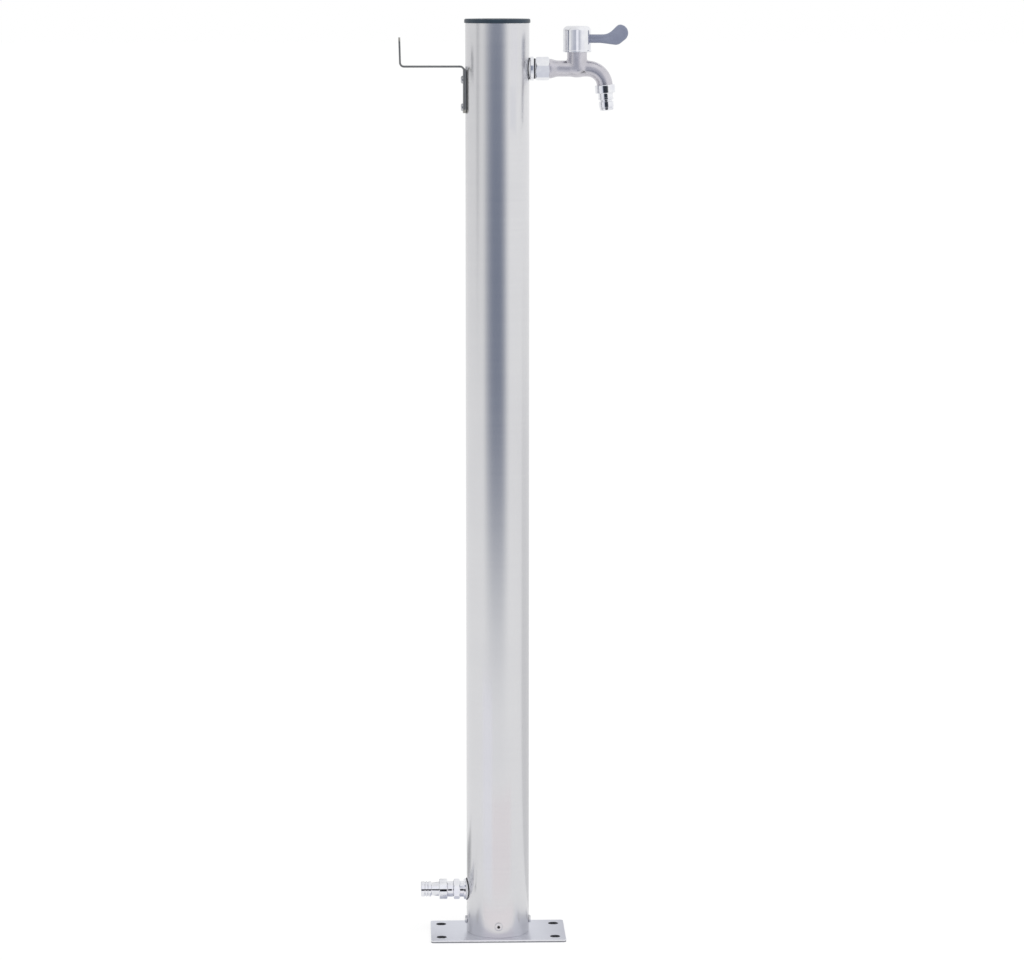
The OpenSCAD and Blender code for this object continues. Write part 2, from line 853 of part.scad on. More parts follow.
module hose_seal() {
    translate([0, 0, elbow_leg]) tube(pipe_r - slip_gap, pipe_bore_r, seal_t);
}

module hose_nut() {
    nut_h = nut_thread_l + seal_t + nipple_collar_t + nut_roof_t;
    translate([0, 0, nut_roof_s + nut_roof_t - nut_h]) difference() {
        hex_block(hose_nut_af, nut_h);
        translate([0, 0, -over])
            cylinder(r = pipe_r + thread_gap, h = nut_h - nut_roof_t + over);
        cylinder(r = nipple_neck_r + slip_gap, h = nut_h + over);
    }
}

module hose_nipple() {
    difference() {
        union() {
            translate([0, 0, nipple_collar_s])
                cylinder(r = pipe_r - slip_gap, h = nipple_collar_t);
            translate([0, 0, nut_roof_s]) cylinder(r = nipple_neck_r, h = nipple_neck_l);
            translate([0, 0, hose_start_s]) cylinder(r = nipple_r, h = ferrule_l);
        }
        translate([0, 0, nipple_collar_s - over])
            cylinder(r = nipple_r - nipple_wall,
                     h = hose_start_s + ferrule_l - nipple_collar_s + 2 * over);
    }
}

module ferrule() {
    translate([0, 0, hose_start_s - ferrule_end_t]) difference() {
        round_disc(braid_r + ferrule_t, ferrule_l + ferrule_end_t, ferrule_t / 2);
        translate([0, 0, -over])
            cylinder(r = nipple_neck_r + thread_gap, h = ferrule_l + 2 * over);
        translate([0, 0, ferrule_end_t]) cylinder(r = braid_r, h = ferrule_l + over);
    }
}

module bottom_hose_seal() {
    color(RUBBER) at_bottom_hose() hose_seal();
}

module bottom_hose_nut() {
    color(BRASS) at_bottom_hose() hose_nut();
}

module bottom_hose_nipple() {
    color(BRASS) at_bottom_hose() hose_nipple();
}

module bottom_ferrule() {
    color(STEEL) at_bottom_hose() ferrule();
}

module inner_hose() {
    color(HOSE)
    translate([0, 0, inlet_z + hose_start_s])
        tube(hose_r, hose_bore / 2, tap_z - inlet_z - 2 * hose_start_s);
}

module hose_braid() {
    color(BRAID)
    translate([0, 0, inlet_z + hose_start_s])
        tube(braid_r, hose_r, tap_z - inlet_z - 2 * hose_start_s);
}

module top_ferrule() {
    color(STEEL) at_top_hose() ferrule();
}

module top_hose_nipple() {
    color(BRASS) at_top_hose() hose_nipple();
}

module top_hose_nut() {
    color(BRASS) at_top_hose() hose_nut();
}

module top_hose_seal() {
    color(RUBBER) at_top_hose() hose_seal();
}

// Outlet

module outlet_bulkhead() {
    color(BRASS)
    at_outlet() translate([0, 0, socket_stop + slip_gap])
        tube(pipe_r, pipe_bore_r, outlet_thread_end - socket_stop - slip_gap);
}

module outlet_locknut() {
    color(BRASS) at_outlet() locknut();
}

module outlet_gasket() {
    color(RUBBER) at_outlet() saddle_gasket(outlet_gasket_d);
}

module outlet_ring() {
    color(CHROME)
    at_outlet() translate([0, 0, outlet_ring_x]) difference() {
        chamfer_disc(outlet_ring_d / 2, outlet_ring_t, ring_chamfer);
        translate([0, 0, -over])
            cylinder(r = pipe_r + thread_gap, h = outlet_ring_t + 2 * over);
    }
}

module outlet_seal() {
    color(RUBBER)
    at_outlet() translate([0, 0, outlet_seal_x])
        tube(outlet_seal_d / 2, pipe_r + thread_gap, outlet_seal_t);
}

module outlet_coupling() {
    color(CHROME)
    at_outlet() translate([0, 0, coupling_x]) rotate([0, 0, 30 - coupling_roll])
        hex_nut(coupling_af, coupling_l, pipe_r + thread_gap);
}

// Tap body

// A bar along X, from one place to another on the barrel's axis
module bar_x(r, from, to) {
    translate([from, 0, 0]) rotate([0, 90, 0]) cylinder(r = r, h = to - from);
}

// The bent part of the spout
module bend(r) {
    translate([spout_run, 0, -spout_bend_r]) rotate([90, 0, 0]) rotate([0, 0, 90 - spout_turn])
        rotate_extrude(angle = spout_turn) translate([spout_bend_r, 0]) circle(r = r);
}

module tap_body() {
    cone_from = shoulder_l - tap_stem;
    color(SATIN)
    difference() {
        union() {
            at_tap() {
                rotate([0, 90, 0]) turned(concat(
                    plain(pipe_r, -tap_stem - tail_l, tail_l),
                    plain(shoulder_d / 2, -tap_stem, shoulder_l),
                    plain(spout_r, cone_from + cone_l, spout_run - cone_from - cone_l)
                ));
                sphere(r = belly_r);
                cylinder(r = neck_r, h = neck_h);
                bend(spout_r);
            }
            at_exit() translate([0, 0, -exit_root])
                cylinder(d = exit_thread_d, h = exit_thread_l + exit_root);
        }
        at_tap() {
            bar_x(pipe_bore_r, -tap_stem - tail_l - over, inlet_bore_end);
            cylinder(r = seat_port_r, h = seat_h + over);
            difference() {
                translate([0, 0, chamber_floor_h]) cylinder(r = chamber_r, h = neck_h);
                cylinder(r = seat_boss_r, h = seat_h);
            }
            translate([outlet_bore_start, -passage_w / 2, 0])
                cube([chamber_r - outlet_bore_start, passage_w, chamber_floor_h + run_gap]);
            bar_x(pipe_bore_r, outlet_bore_start, spout_run);
            bend(bend_bore_r);
            translate([0, 0, neck_h - o_ring_h])
                cylinder(r = chamber_r + o_ring_w, h = o_ring_h + over);
        }
        at_exit() cylinder(r = pipe_bore_r, h = exit_thread_l + over);
    }
}

// Nozzle

module nozzle_washer() {
    color(RUBBER)
    at_exit() translate([0, 0, exit_thread_l])
        tube(exit_thread_d / 2, nozzle_bore / 2, nozzle_washer_t);
}

module spout_nozzle() {
    color(CHROME)
    at_exit() difference() {
        turned(concat(
            chamfered(nozzle_collar_d / 2, 0, nozzle_collar_l, nozzle_edge_r),
            plain(nozzle_neck_d / 2, nozzle_neck_s, nozzle_neck_l),
            chamfered(nozzle_lip_d / 2, nozzle_lip_s, nozzle_lip_l, nozzle_lip_l / 4),
            plain(nozzle_groove_d / 2, nozzle_groove_s, nozzle_groove_l),
            plain(nozzle_tip_d / 2, nozzle_tip_s, nozzle_tip_l),
            plain(nozzle_groove_d / 2, nozzle_tip_s + nozzle_tip_l, nozzle_end_gap),
            [[nozzle_tip_d / 2, nozzle_end_s], [nozzle_end_d / 2, nozzle_end]]
        ));
        translate([0, 0, -over])
            cylinder(r = exit_thread_d / 2 + thread_gap, h = exit_thread_l + nozzle_washer_t + over);
        cylinder(d = nozzle_bore, h = nozzle_end + over);
    }
}

// Cartridge

module seat_seal() {
    color(RUBBER)
    at_tap() translate([0, 0, seat_h]) tube(seat_boss_r, seat_port_r, seat_seal_t);
}

module fixed_disc() {
    color(CERAMIC)
    at_tap() translate([0, 0, fixed_disc_h]) difference() {
        cylinder(r = disc_r, h = fixed_disc_t);
        for (s = [-1, 1]) {
            translate([s * disc_port_x, 0, -over])
                cylinder(r = disc_port_r, h = fixed_disc_t + 2 * over);
        }
    }
}

// The moving disc covers both ports while its slot lies across them
module moving_disc() {
    color(CERAMIC)
    at_tap() translate([0, 0, moving_disc_h]) difference() {
        cylinder(r = disc_r, h = moving_disc_t);
        translate([-disc_slot_w / 2, -disc_d, -over])
            cube([disc_slot_w, 2 * disc_d, disc_slot_h + over]);
        translate([-disc_d, -tang_w / 2 - thread_gap, moving_disc_t - tang_h - thread_gap])
            cube([2 * disc_d, tang_w + 2 * thread_gap, tang_h + over]);
    }
}

module cartridge_body() {
    color(BRASS)
    at_tap() difference() {
        union() {
            translate([0, 0, skirt_bottom_h])
                cylinder(r = skirt_r, h = thread_start_h - skirt_bottom_h);
            translate([0, 0, thread_start_h])
                cylinder(r = chamber_r - thread_gap, h = neck_h - thread_start_h);
            translate([0, 0, neck_h]) hex_block(cartridge_af, cartridge_hex_h);
            translate([0, 0, hex_top_h]) cylinder(r = bonnet_r, h = bonnet_h);
        }
        translate([0, 0, skirt_bottom_h - over])
            cylinder(r = disc_room_r, h = foot_room_h - skirt_bottom_h + over);
        cylinder(r = spindle_r + run_gap, h = bonnet_top_h + over);
        translate([-cartridge_d, -window_w / 2, moving_disc_h])
            cube([2 * cartridge_d, window_w, window_h]);
    }
}

module cartridge_o_ring() {
    color(RUBBER)
    at_tap() translate([0, 0, neck_h - o_ring_h])
        tube(chamber_r + o_ring_w - thread_gap, chamber_r + thread_gap, o_ring_h);
}

// Outline of a splined shaft or hole, with flat topped teeth
function spline_points(r_tip, r_root) = [
    for (i = [0 : spline_n - 1])
        for (j = [0 : 3])
            let (r = j < 2 ? r_tip : r_root, a = (i + j / 4) * 360 / spline_n)
                [r * cos(a), r * sin(a)]
];

module spindle() {
    color(BRASS)
    at_tap() difference() {
        union() {
            translate([0, 0, spindle_foot_h]) cylinder(r = disc_r, h = spindle_foot_t);
            translate([0, 0, spindle_foot_h - tang_h]) intersection() {
                translate([-disc_r, -tang_w / 2, 0]) cube([disc_d, tang_w, tang_h + over]);
                cylinder(r = disc_r - thread_gap, h = tang_h + over);
            }
            translate([0, 0, spindle_foot_h])
                cylinder(r = spindle_r, h = spline_low_h - spindle_foot_h);
            translate([0, 0, spline_low_h]) linear_extrude(spline_l)
                polygon(spline_points(spline_r, spline_r - spline_depth));
        }
        for (h = ring_lows) {
            translate([0, 0, h]) tube(disc_d, groove_r, groove_w);
        }
        translate([0, 0, clip_h]) tube(disc_d, clip_groove_r, clip_t);
        translate([0, 0, spindle_top_h - tapped_l])
            cylinder(r = handle_screw_d / 2 + thread_gap, h = tapped_l + over);
    }
}

module spindle_o_rings() {
    color(RUBBER)
    at_tap() for (h = ring_lows) {
        translate([0, 0, h]) tube(spindle_r, groove_r, groove_w);
    }
}

// An open retaining ring in the spindle's groove
module spindle_clip() {
    color(STEEL)
    at_tap() translate([0, 0, clip_h]) difference() {
        tube(clip_r, clip_groove_r, clip_t);
        translate([0, -clip_opening / 2, -over])
            cube([clip_r + over, clip_opening, clip_t + 2 * over]);
    }
}

// Handle

// Slot in the dome's wall that the lever's stem passes through
module stem_slot() {
    translate([hub_r, -stem_t / 2, stem_low_h]) cube([dome_d, stem_t, stem_h]);
}

module handle_dome() {
    cavity_r = dome_r - dome_wall;
    web_top_h = hub_web_h + hub_web_t;
    color(CHROME)
    at_tap() difference() {
        union() {
            difference() {
                translate([0, 0, dome_rim_h]) {
                    round_disc(dome_r, dome_h, dome_edge_r);
                    chamfer_disc(dome_r + lip_out, lip_h, lip_out);
                }
                translate([0, 0, dome_rim_h - over])
                    cylinder(r = cavity_r, h = dome_h - roof_t + over);
            }
            translate([0, 0, spline_low_h])
                cylinder(r = hub_r, h = dome_top_h - roof_t / 2 - spline_low_h);
        }
        translate([0, 0, spline_low_h - over]) linear_extrude(hub_web_h - spline_low_h + over)
            polygon(spline_points(spline_r + thread_gap, spline_r + thread_gap - spline_depth));
        translate([0, 0, hub_web_h - over])
            cylinder(r = handle_screw_d / 2 + screw_gap, h = hub_web_t + 2 * over);
        translate([0, 0, web_top_h]) cylinder(r = counterbore_r, h = dome_h);
        stem_slot();
    }
}

module handle_screw() {
    color(STEEL)
    at_tap() translate([0, 0, hub_web_h + hub_web_t])
        pan_screw(handle_screw_d, tapped_l + hub_web_t, handle_head_d, handle_head_h,
                  handle_socket_af, handle_socket_depth);
}

// The small plug over the screw
module handle_cap() {
    color(CHROME)
    at_tap() translate([0, 0, dome_top_h - cap_disc_t]) {
        cylinder(r = counterbore_r - thread_gap, h = cap_disc_t);
        translate([0, 0, -cap_ring_h])
            tube(counterbore_r - thread_gap, handle_head_d / 2 + thread_gap, cap_ring_h);
    }
}

// The lever's outline in X and height: a level stem that swells into a round paddle
function eased(s) = s * s * (3 - 2 * s);
function lever_top(s) = [
    rise_start_x + s * (tip_x - rise_start_x),
    stem_top_h + lever_rise * eased(pow(s, rise_power))
];
lever_points = concat(
    [[root_front_x, stem_low_h], [root_front_x, stem_top_h]],
    [for (i = [0 : lever_steps]) lever_top(i / lever_steps)],
    [for (i = [1 : lever_steps]) let (a = 90 - i * tip_arc / lever_steps)
        [tip_x + lever_tip_r * cos(a), tip_h + lever_tip_r * sin(a)]],
    [for (i = [0 : lever_steps]) let (a = 90 - tip_arc - i * heel_arc / lever_steps)
        [heel_x + lever_tip_r * cos(a), heel_h + lever_tip_r * sin(a)]],
    [[rise_start_x, stem_low_h]]
);

module lever() {
    color(LEVER)
    at_tap() difference() {
        union() {
            translate([0, stem_t / 2, 0]) rotate([90, 0, 0]) linear_extrude(stem_t)
                polygon(lever_points);
            translate([root_back_x, -(stem_t + root_wider) / 2, stem_low_h - root_taller / 2])
                cube([root_front_x - root_back_x, stem_t + root_wider, stem_h + root_taller]);
        }
        for (s = [-1, 1]) {
            translate([stem_groove_x, s * stem_t / 2 - stem_groove_depth,
                       stem_low_h + (stem_h - stem_groove_w) / 2])
                cube([heel_x - stem_groove_x, 2 * stem_groove_depth, stem_groove_w]);
        }
    }
}

base_plate();
foot_spigot();
foot_screws();
column_tube();
top_cap();
hose_hook();
hook_screws();
hook_rivet_nuts();
inlet_gasket();
inlet_bulkhead();
inlet_locknut();
inlet_plug_washer();
inlet_plug();
inlet_elbow();
outlet_elbow();
bottom_hose_seal();
bottom_hose_nut();
bottom_hose_nipple();
bottom_ferrule();
inner_hose();
hose_braid();
top_ferrule();
top_hose_nipple();
top_hose_nut();
top_hose_seal();
outlet_bulkhead();
outlet_locknut();
outlet_gasket();
outlet_ring();
outlet_seal();
outlet_coupling();
tap_body();
nozzle_washer();
spout_nozzle();
seat_seal();
fixed_disc();
cartridge_body();
cartridge_o_ring();
moving_disc();
spindle();
spindle_o_rings();
spindle_clip();
handle_dome();
handle_screw();
handle_cap();
lever();
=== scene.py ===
"""Garden standpipe: a satin steel column on a floor plate, with a tap, a hose hook and an inlet.

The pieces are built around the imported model, in metres, in its own frame: +Z up, +X towards the
tap, -Y towards the front. Sizes are written in millimetres and turned to metres where they are
used.
"""

from __future__ import annotations

import json
import logging
import math
from collections.abc import Iterable, Sequence
from dataclasses import dataclass, field
from enum import Enum
from itertools import accumulate

import bmesh
import bpy
from mathutils import Matrix, Vector


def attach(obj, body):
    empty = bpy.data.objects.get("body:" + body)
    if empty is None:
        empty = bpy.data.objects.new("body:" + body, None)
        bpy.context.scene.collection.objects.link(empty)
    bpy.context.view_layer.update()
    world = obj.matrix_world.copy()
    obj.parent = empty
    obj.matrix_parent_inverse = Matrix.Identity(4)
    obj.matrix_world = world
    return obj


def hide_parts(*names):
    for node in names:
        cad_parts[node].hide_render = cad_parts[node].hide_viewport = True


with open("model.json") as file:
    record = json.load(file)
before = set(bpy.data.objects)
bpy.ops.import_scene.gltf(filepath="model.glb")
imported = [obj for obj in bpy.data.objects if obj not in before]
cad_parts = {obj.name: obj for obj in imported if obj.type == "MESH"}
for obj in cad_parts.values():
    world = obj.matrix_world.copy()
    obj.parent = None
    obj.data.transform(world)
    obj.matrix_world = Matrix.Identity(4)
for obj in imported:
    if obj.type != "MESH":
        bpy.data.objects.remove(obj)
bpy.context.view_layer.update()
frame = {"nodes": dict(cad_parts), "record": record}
LOG = logging.getLogger("standpipe")

MM = 0.001
FULL_TURN = 2 * math.pi
# Faces that meet at more than this keep a crisp edge between them
CRISP_ANGLE = math.radians(32)
# The same for a piece whose edges are broken by a bevel of their own
BROKEN_EDGE_ANGLE = math.radians(50)
# Edges that a bevel breaks turn by more than this
SQUARE_ANGLE = math.radians(60)
# An outline's corner that turns by less than this stays as it is
SLIGHT_TURN = math.radians(12)
# Points closer than this to a place, in millimetres, count as on it
TOUCH = 0.01
# The middle range of a noise's values, and where its tints are pure
NOISE_RANGE = (0.25, 0.75)
TINT_STOPS = (0.3, 0.7)
Point = tuple[float, float]


class Body(Enum):
    """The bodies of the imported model."""

    COLUMN = "column"
    HANDLE = "handle"


class Slot(Enum):
    """The record's material slots."""

    COLUMN_STEEL = "column_steel"
    PLATE_STEEL = "plate_steel"
    SCREW_STEEL = "screw_steel"
    HOOK_STEEL = "hook_steel"
    CAP_PLASTIC = "cap_plastic"
    LEVER_PLASTIC = "lever_plastic"
    CHROME = "chrome"
    SATIN_NICKEL = "satin_nickel"
    BRASS = "brass"
    RUBBER = "rubber"
    BRAID = "braid"
    CERAMIC = "ceramic"


class Axis(Enum):
    """The directions that a turned piece's axis takes, outwards from the column."""

    UP = (0.0, 0.0, 1.0)
    TAP = (1.0, 0.0, 0.0)
    INLET = (-1.0, 0.0, 0.0)
    FRONT = (0.0, -1.0, 0.0)
    BACK = (0.0, 1.0, 0.0)

    def placed(self, origin: Sequence[float]) -> Matrix:
        """Gives the matrix that turns +Z to this axis and moves to a place in millimetres."""
        turn = Vector((0, 0, 1)).rotation_difference(Vector(self.value)).to_matrix().to_4x4()
        return Matrix.Translation(Vector(origin) * MM) @ turn


def srgb(code: str) -> tuple[float, float, float, float]:
    """Turns an sRGB hex colour to linear.

    Args:
        code: Six hex digits after a hash sign.

    Returns:
        Linear red, green, blue and an alpha of one.
    """
    values = [int(code[i : i + 2], 16) / 255 for i in (1, 3, 5)]
    linear = [v / 12.92 if v <= 0.04045 else ((v + 0.055) / 1.055) ** 2.4 for v in values]
    return (linear[0], linear[1], linear[2], 1.0)


def add_node(
    tree: bpy.types.NodeTree,
    kind: str,
    inputs: dict[str | int, object] | None = None,
    **settings: object,
) -> bpy.types.Node:
    """Adds a shader node with its settings and links.

    Args:
        tree: The node tree that takes the node.
        kind: The node's type, without the ShaderNode prefix.
        inputs: A value, or an output socket to link, for each input by name or number.
        **settings: The node's own properties.

    Returns:
        The new node.
    """
    node = tree.nodes.new("ShaderNode" + kind)
    for name, value in settings.items():
        setattr(node, name, value)
    for name, value in (inputs or {}).items():
        if isinstance(value, bpy.types.NodeSocket):
            tree.links.new(value, node.inputs[name])
        else:
            node.inputs[name].default_value = value
    return node


@dataclass(frozen=True)
class Spots:
    """A noise whose spots have a real size along X, Y and Z, in millimetres."""

    size_mm: tuple[float, float, float]
    # How many finer layers it has
    detail: float = 2.0

    def value(self, tree: bpy.types.NodeTree, place: bpy.types.NodeSocket) -> bpy.types.NodeSocket:
        """Adds the noise.

        Args:
            tree: The material's tree.
            place: The coordinates that it reads.

        Returns:
            The noise's value, around one half.
        """
        scale = tuple(1 / (s * MM) for s in self.size_mm)
        mapped = add_node(tree, "Mapping", {"Vector": place, "Scale": scale}).outputs["Vector"]
        noise = {"Vector": mapped, "Scale": 1.0, "Detail": self.detail, "Roughness": 0.5}
        return add_node(tree, "TexNoise", noise).outputs["Fac"]


@dataclass(frozen=True)
class Effect:
    """What a pattern does to a surface: its colour, its roughness and its height."""

    # The colours of the pattern's low and high spots
    tints: tuple[str, str] | None = None
    # The roughness of its low and high spots
    rough: tuple[float, float] | None = None
    depth_mm: float = 0.0

    def apply(
        self, tree: bpy.types.NodeTree, shader: bpy.types.Node, value: bpy.types.NodeSocket
    ) -> None:
        """Lets a pattern drive the shader.

        Args:
            tree: The material's tree.
            shader: Its principled shader.
            value: The pattern's value, from zero to one.
        """
        if self.tints:
            ramp = add_node(tree, "ValToRGB", {"Fac": value})
            for stop, position, code in zip(ramp.color_ramp.elements, TINT_STOPS, self.tints):
                stop.position = position
                stop.color = srgb(code)
            tree.links.new(ramp.outputs["Color"], shader.inputs["Base Color"])
        if self.rough:
            (start, end), (low, high) = NOISE_RANGE, self.rough
            spread = add_node(
                tree, "MapRange",
                {"Value": value, "From Min": start, "From Max": end, "To Min": low, "To Max": high},
            )
            tree.links.new(spread.outputs["Result"], shader.inputs["Roughness"])
        if self.depth_mm:
            lift = add_node(
                tree, "Bump", {"Height": value, "Strength": 1.0, "Distance": self.depth_mm * MM}
            )
            tree.links.new(lift.outputs["Normal"], shader.inputs["Normal"])


Patterns = tuple[tuple[Spots, Effect], ...]


@dataclass(frozen=True)
class Finish:
    """A surface finish, with what every one of them has.

    The patterns read Object coordinates in metres, and their scales come from real sizes.
    """

    slot: Slot
    colour: str
    roughness: float
    metallic: float = 1.0

    def material(self) -> bpy.types.Material:
        """Builds the finish's material.

        Returns:
            The material, or the one that was built before under the same name.
        """
        name = f"{type(self).__name__}_{self.slot.value}_{self.colour[1:]}"
        found = bpy.data.materials.get(name)
        if found is not None:
            return found
        material = bpy.data.materials.new(name)
        material.use_nodes = True
        tree = material.node_tree
        tree.nodes.clear()
        shader = add_node(
            tree, "BsdfPrincipled",
            {"Base Color": srgb(self.colour), "Metallic": self.metallic,
             "Roughness": self.roughness},
        )
        self.dress(tree, shader, add_node(tree, "TexCoord").outputs["Object"])
        out = add_node(tree, "OutputMaterial", {"Surface": shader.outputs["BSDF"]})
        out.is_active_output = True
        return material

    def patterns(self) -> Patterns:
        """Lists the finish's patterns and what each does."""
        return ()

    def dress(
        self, tree: bpy.types.NodeTree, shader: bpy.types.Node, place: bpy.types.NodeSocket
    ) -> None:
        """Lays the finish's patterns over its plain colour and sheen.

        Args:
            tree: The material's tree.
            shader: Its principled shader.
            place: The object coordinates.
        """
        for spots, effect in self.patterns():
            effect.apply(tree, shader, spots.value(tree, place))


@dataclass(frozen=True)
class BrushedTube(Finish):
    """Satin stainless tube, belt ground round and round.

    The belt's lines run round the tube, so a reflection keeps its width and smears up and down.
    """

    slot: Slot = Slot.COLUMN_STEEL
    colour: str = "#dadadc"
    roughness: float = 0.25
    # A 180 grit belt leaves lines about 0.15 mm apart, too fine to show, so they are drawn coarser
    line_mm: float = 0.9
    # The length of a line before it fades
    stroke_mm: float = 60.0
    cloud_mm: float = 70.0
    # How much the reflection smears, and which way from the tangent
    smear: float = 0.5
    smear_turn: float = 0.25

    def dress(
        self, tree: bpy.types.NodeTree, shader: bpy.types.Node, place: bpy.types.NodeSocket
    ) -> None:
        """Adds the belt's lines, a faint cloudiness and the smear that the lines give.

        Args:
            tree: The material's tree.
            shader: Its principled shader.
            place: The object coordinates.
        """
        lines = Spots((self.stroke_mm, self.stroke_mm, self.line_mm), 3.0).value(tree, place)
        clouds = Spots((self.cloud_mm,) * 3, 1.0).value(tree, place)
        both = add_node(tree, "Math", {0: lines, 1: clouds}, operation="ADD").outputs[0]
        half = add_node(tree, "Math", {0: both, 1: 0.5}, operation="MULTIPLY").outputs[0]
        Effect(tints=("#d7d7da", "#dddddf")).apply(tree, shader, half)
        Effect(rough=(0.23, 0.27), depth_mm=0.0015).apply(tree, shader, lines)
        shader.inputs["Anisotropic"].default_value = self.smear
        shader.inputs["Anisotropic Rotation"].default_value = self.smear_turn
        around = add_node(
            tree, "VectorMath", {0: Axis.UP.value, 1: place}, operation="CROSS_PRODUCT"
        )
        tree.links.new(around.outputs["Vector"], shader.inputs["Tangent"])


@dataclass(frozen=True)
class BrushedSheet(Finish):
    """Stainless sheet with the straight brush of the mill's belt, along X.

    It gives a soft sheen with fine streaks that run the length of the piece.
    """

    slot: Slot = Slot.PLATE_STEEL
    colour: str = "#d5d7e1"
    roughness: float = 0.34
    tints: tuple[str, str] = ("#d0d2dd", "#dadce5")
    streak_mm: tuple[float, float, float] = (45.0, 0.7, 0.7)
    # How far the streaks' roughness strays from the sheet's
    stray: float = 0.05

    def patterns(self) -> Patterns:
        """The brush's streaks, in colour, roughness and height."""
        rough = (self.roughness - self.stray, self.roughness + self.stray)
        return ((Spots(self.streak_mm, 3.0), Effect(self.tints, rough, 0.006)),)


@dataclass(frozen=True)
class StripEdge(BrushedSheet):
    """Slit edge of a coil strip, which keeps the mill's grey skin.

    It is darker and duller than the strip's brushed faces.
    """

    slot: Slot = Slot.HOOK_STEEL
    colour: str = "#a3a29c"
    roughness: float = 0.42
    tints: tuple[str, str] = ("#9e9d99", "#a8a7a2")
    streak_mm: tuple[float, float, float] = (12.0, 0.5, 12.0)


@dataclass(frozen=True)
class BrightScrew(Finish):
    """Cold headed stainless screw, tumbled bright.

    It is nearly a mirror, with the faint dents of the tumbling.
    """

    slot: Slot = Slot.SCREW_STEEL
    colour: str = "#d9dadd"
    roughness: float = 0.2
    tints: tuple[str, str] = ("#cfd0d4", "#dfe0e2")
    dent_mm: float = 1.1

    def patterns(self) -> Patterns:
        """The tumbling's dents."""
        return ((Spots((self.dent_mm,) * 3), Effect(self.tints, (0.15, 0.26), 0.01)),)


@dataclass(frozen=True)
class ChromePlate(Finish):
    """Bright decorative chrome over polished brass or zinc.

    It is a mirror with a cool tint, a touch softer where it was handled.
    """

    slot: Slot = Slot.CHROME
    colour: str = "#ebecf1"
    roughness: float = 0.07
    haze_mm: float = 6.0

    def patterns(self) -> Patterns:
        """The handling haze and the plating's slight waviness."""
        haze = Effect(("#e6e7ed", "#f0f1f4"), (0.05, 0.11), 0.004)
        return ((Spots((self.haze_mm,) * 3, 1.0), haze),)


@dataclass(frozen=True)
class SatinCasting(Finish):
    """Die cast zinc, shot blasted and plated with satin nickel.

    It is a soft lavender grey with a fine even grain.
    """

    slot: Slot = Slot.SATIN_NICKEL
    colour: str = "#cbc9d0"
    roughness: float = 0.27
    grain_mm: float = 0.5
    cloud_mm: float = 9.0

    def patterns(self) -> Patterns:
        """Lists the patterns.

        Returns:
            The blasted grain and the plating's clouds.
        """
        return (
            (Spots((self.grain_mm,) * 3), Effect(rough=(0.23, 0.32), depth_mm=0.02)),
            (Spots((self.cloud_mm,) * 3), Effect(("#c6c4cb", "#d1cfd5"))),
        )


@dataclass(frozen=True)
class MouldedPlastic(Finish):
    """Injection moulded plastic with a spark eroded texture.

    It has an even colour and a low sheen that the texture breaks up.
    """

    metallic: float = 0.0
    tints: tuple[str, str] = ("#1f303e", "#283947")
    texture_mm: float = 0.35
    flow_mm: float = 14.0
    depth_mm: float = 0.012

    def patterns(self) -> Patterns:
        """Lists the patterns.

        Returns:
            The mould's texture and the flow of the resin.
        """
        rough = (self.roughness - 0.06, self.roughness + 0.08)
        return (
            (Spots((self.texture_mm,) * 3), Effect(rough=rough, depth_mm=self.depth_mm)),
            (Spots((self.flow_mm,) * 3, 1.0), Effect(self.tints)),
        )


@dataclass(frozen=True)
class MouldedRubber(Finish):
    """Black nitrile rubber, moulded.

    It is nearly black and matt, a little greyer where talc clings to it.
    """

    slot: Slot = Slot.RUBBER
    colour: str = "#1c1d20"
    roughness: float = 0.68
    metallic: float = 0.0
    talc_mm: float = 3.0
    skin_mm: float = 0.4

    def patterns(self) -> Patterns:
        """Lists the patterns.

        Returns:
            The talc and the fine skin.
        """
        return (
            (Spots((self.talc_mm,) * 3, 3.0), Effect(("#18191c", "#26272b"))),
            (Spots((self.skin_mm,) * 3), Effect(depth_mm=0.01)),
        )


@dataclass(frozen=True)
class ShadedHoleWall(Finish):
    """Walls of the floor plate's holes, darkened with painted shade.

    The dark, dull colour is painted shade on the hole walls, which lie in shadow beside the bright
    sheet; they have the fine upright lines of the cut.
    """

    slot: Slot = Slot.PLATE_STEEL
    colour: str = "#3a3b40"
    roughness: float = 0.6
    metallic: float = 0.6
    line_mm: tuple[float, float, float] = (0.3, 0.3, 6.0)

    def patterns(self) -> Patterns:
        """The lines of the cut."""
        return ((Spots(self.line_mm), Effect(("#303136", "#45464b"), depth_mm=0.03)),)


@dataclass(frozen=True)
class SocketShade(Finish):
    """Inside of a screw's driver socket, darkened with painted shade.

    The dark colour is painted shade that keeps the recess dark, as it looks on any pan head screw.
    """

    slot: Slot = Slot.SCREW_STEEL
    colour: str = "#26262a"
    roughness: float = 0.5
    metallic: float = 0.3
    shade_patch_mm: float = 0.8

    def patterns(self) -> Patterns:
        """The patches of the painted shade."""
        return ((Spots((self.shade_patch_mm,) * 3), Effect(("#1c1c20", "#323236"), depth_mm=0.02)),)


@dataclass(frozen=True)
class TurnedBrass(Finish):
    """Plain brass, turned from bar.

    It is a warm yellow with the fine rings that the tool leaves.
    """

    slot: Slot = Slot.BRASS
    colour: str = "#b99a5b"
    roughness: float = 0.26
    ring_mm: tuple[float, float, float] = (0.4, 30.0, 0.4)
    tarnish_mm: float = 5.0

    def patterns(self) -> Patterns:
        """Lists the patterns.

        Returns:
            The tool's rings and a slight tarnish.
        """
        return (
            (Spots(self.ring_mm), Effect(rough=(0.2, 0.34), depth_mm=0.004)),
            (Spots((self.tarnish_mm,) * 3, 3.0), Effect(("#a98a4e", "#c4a768"))),
        )


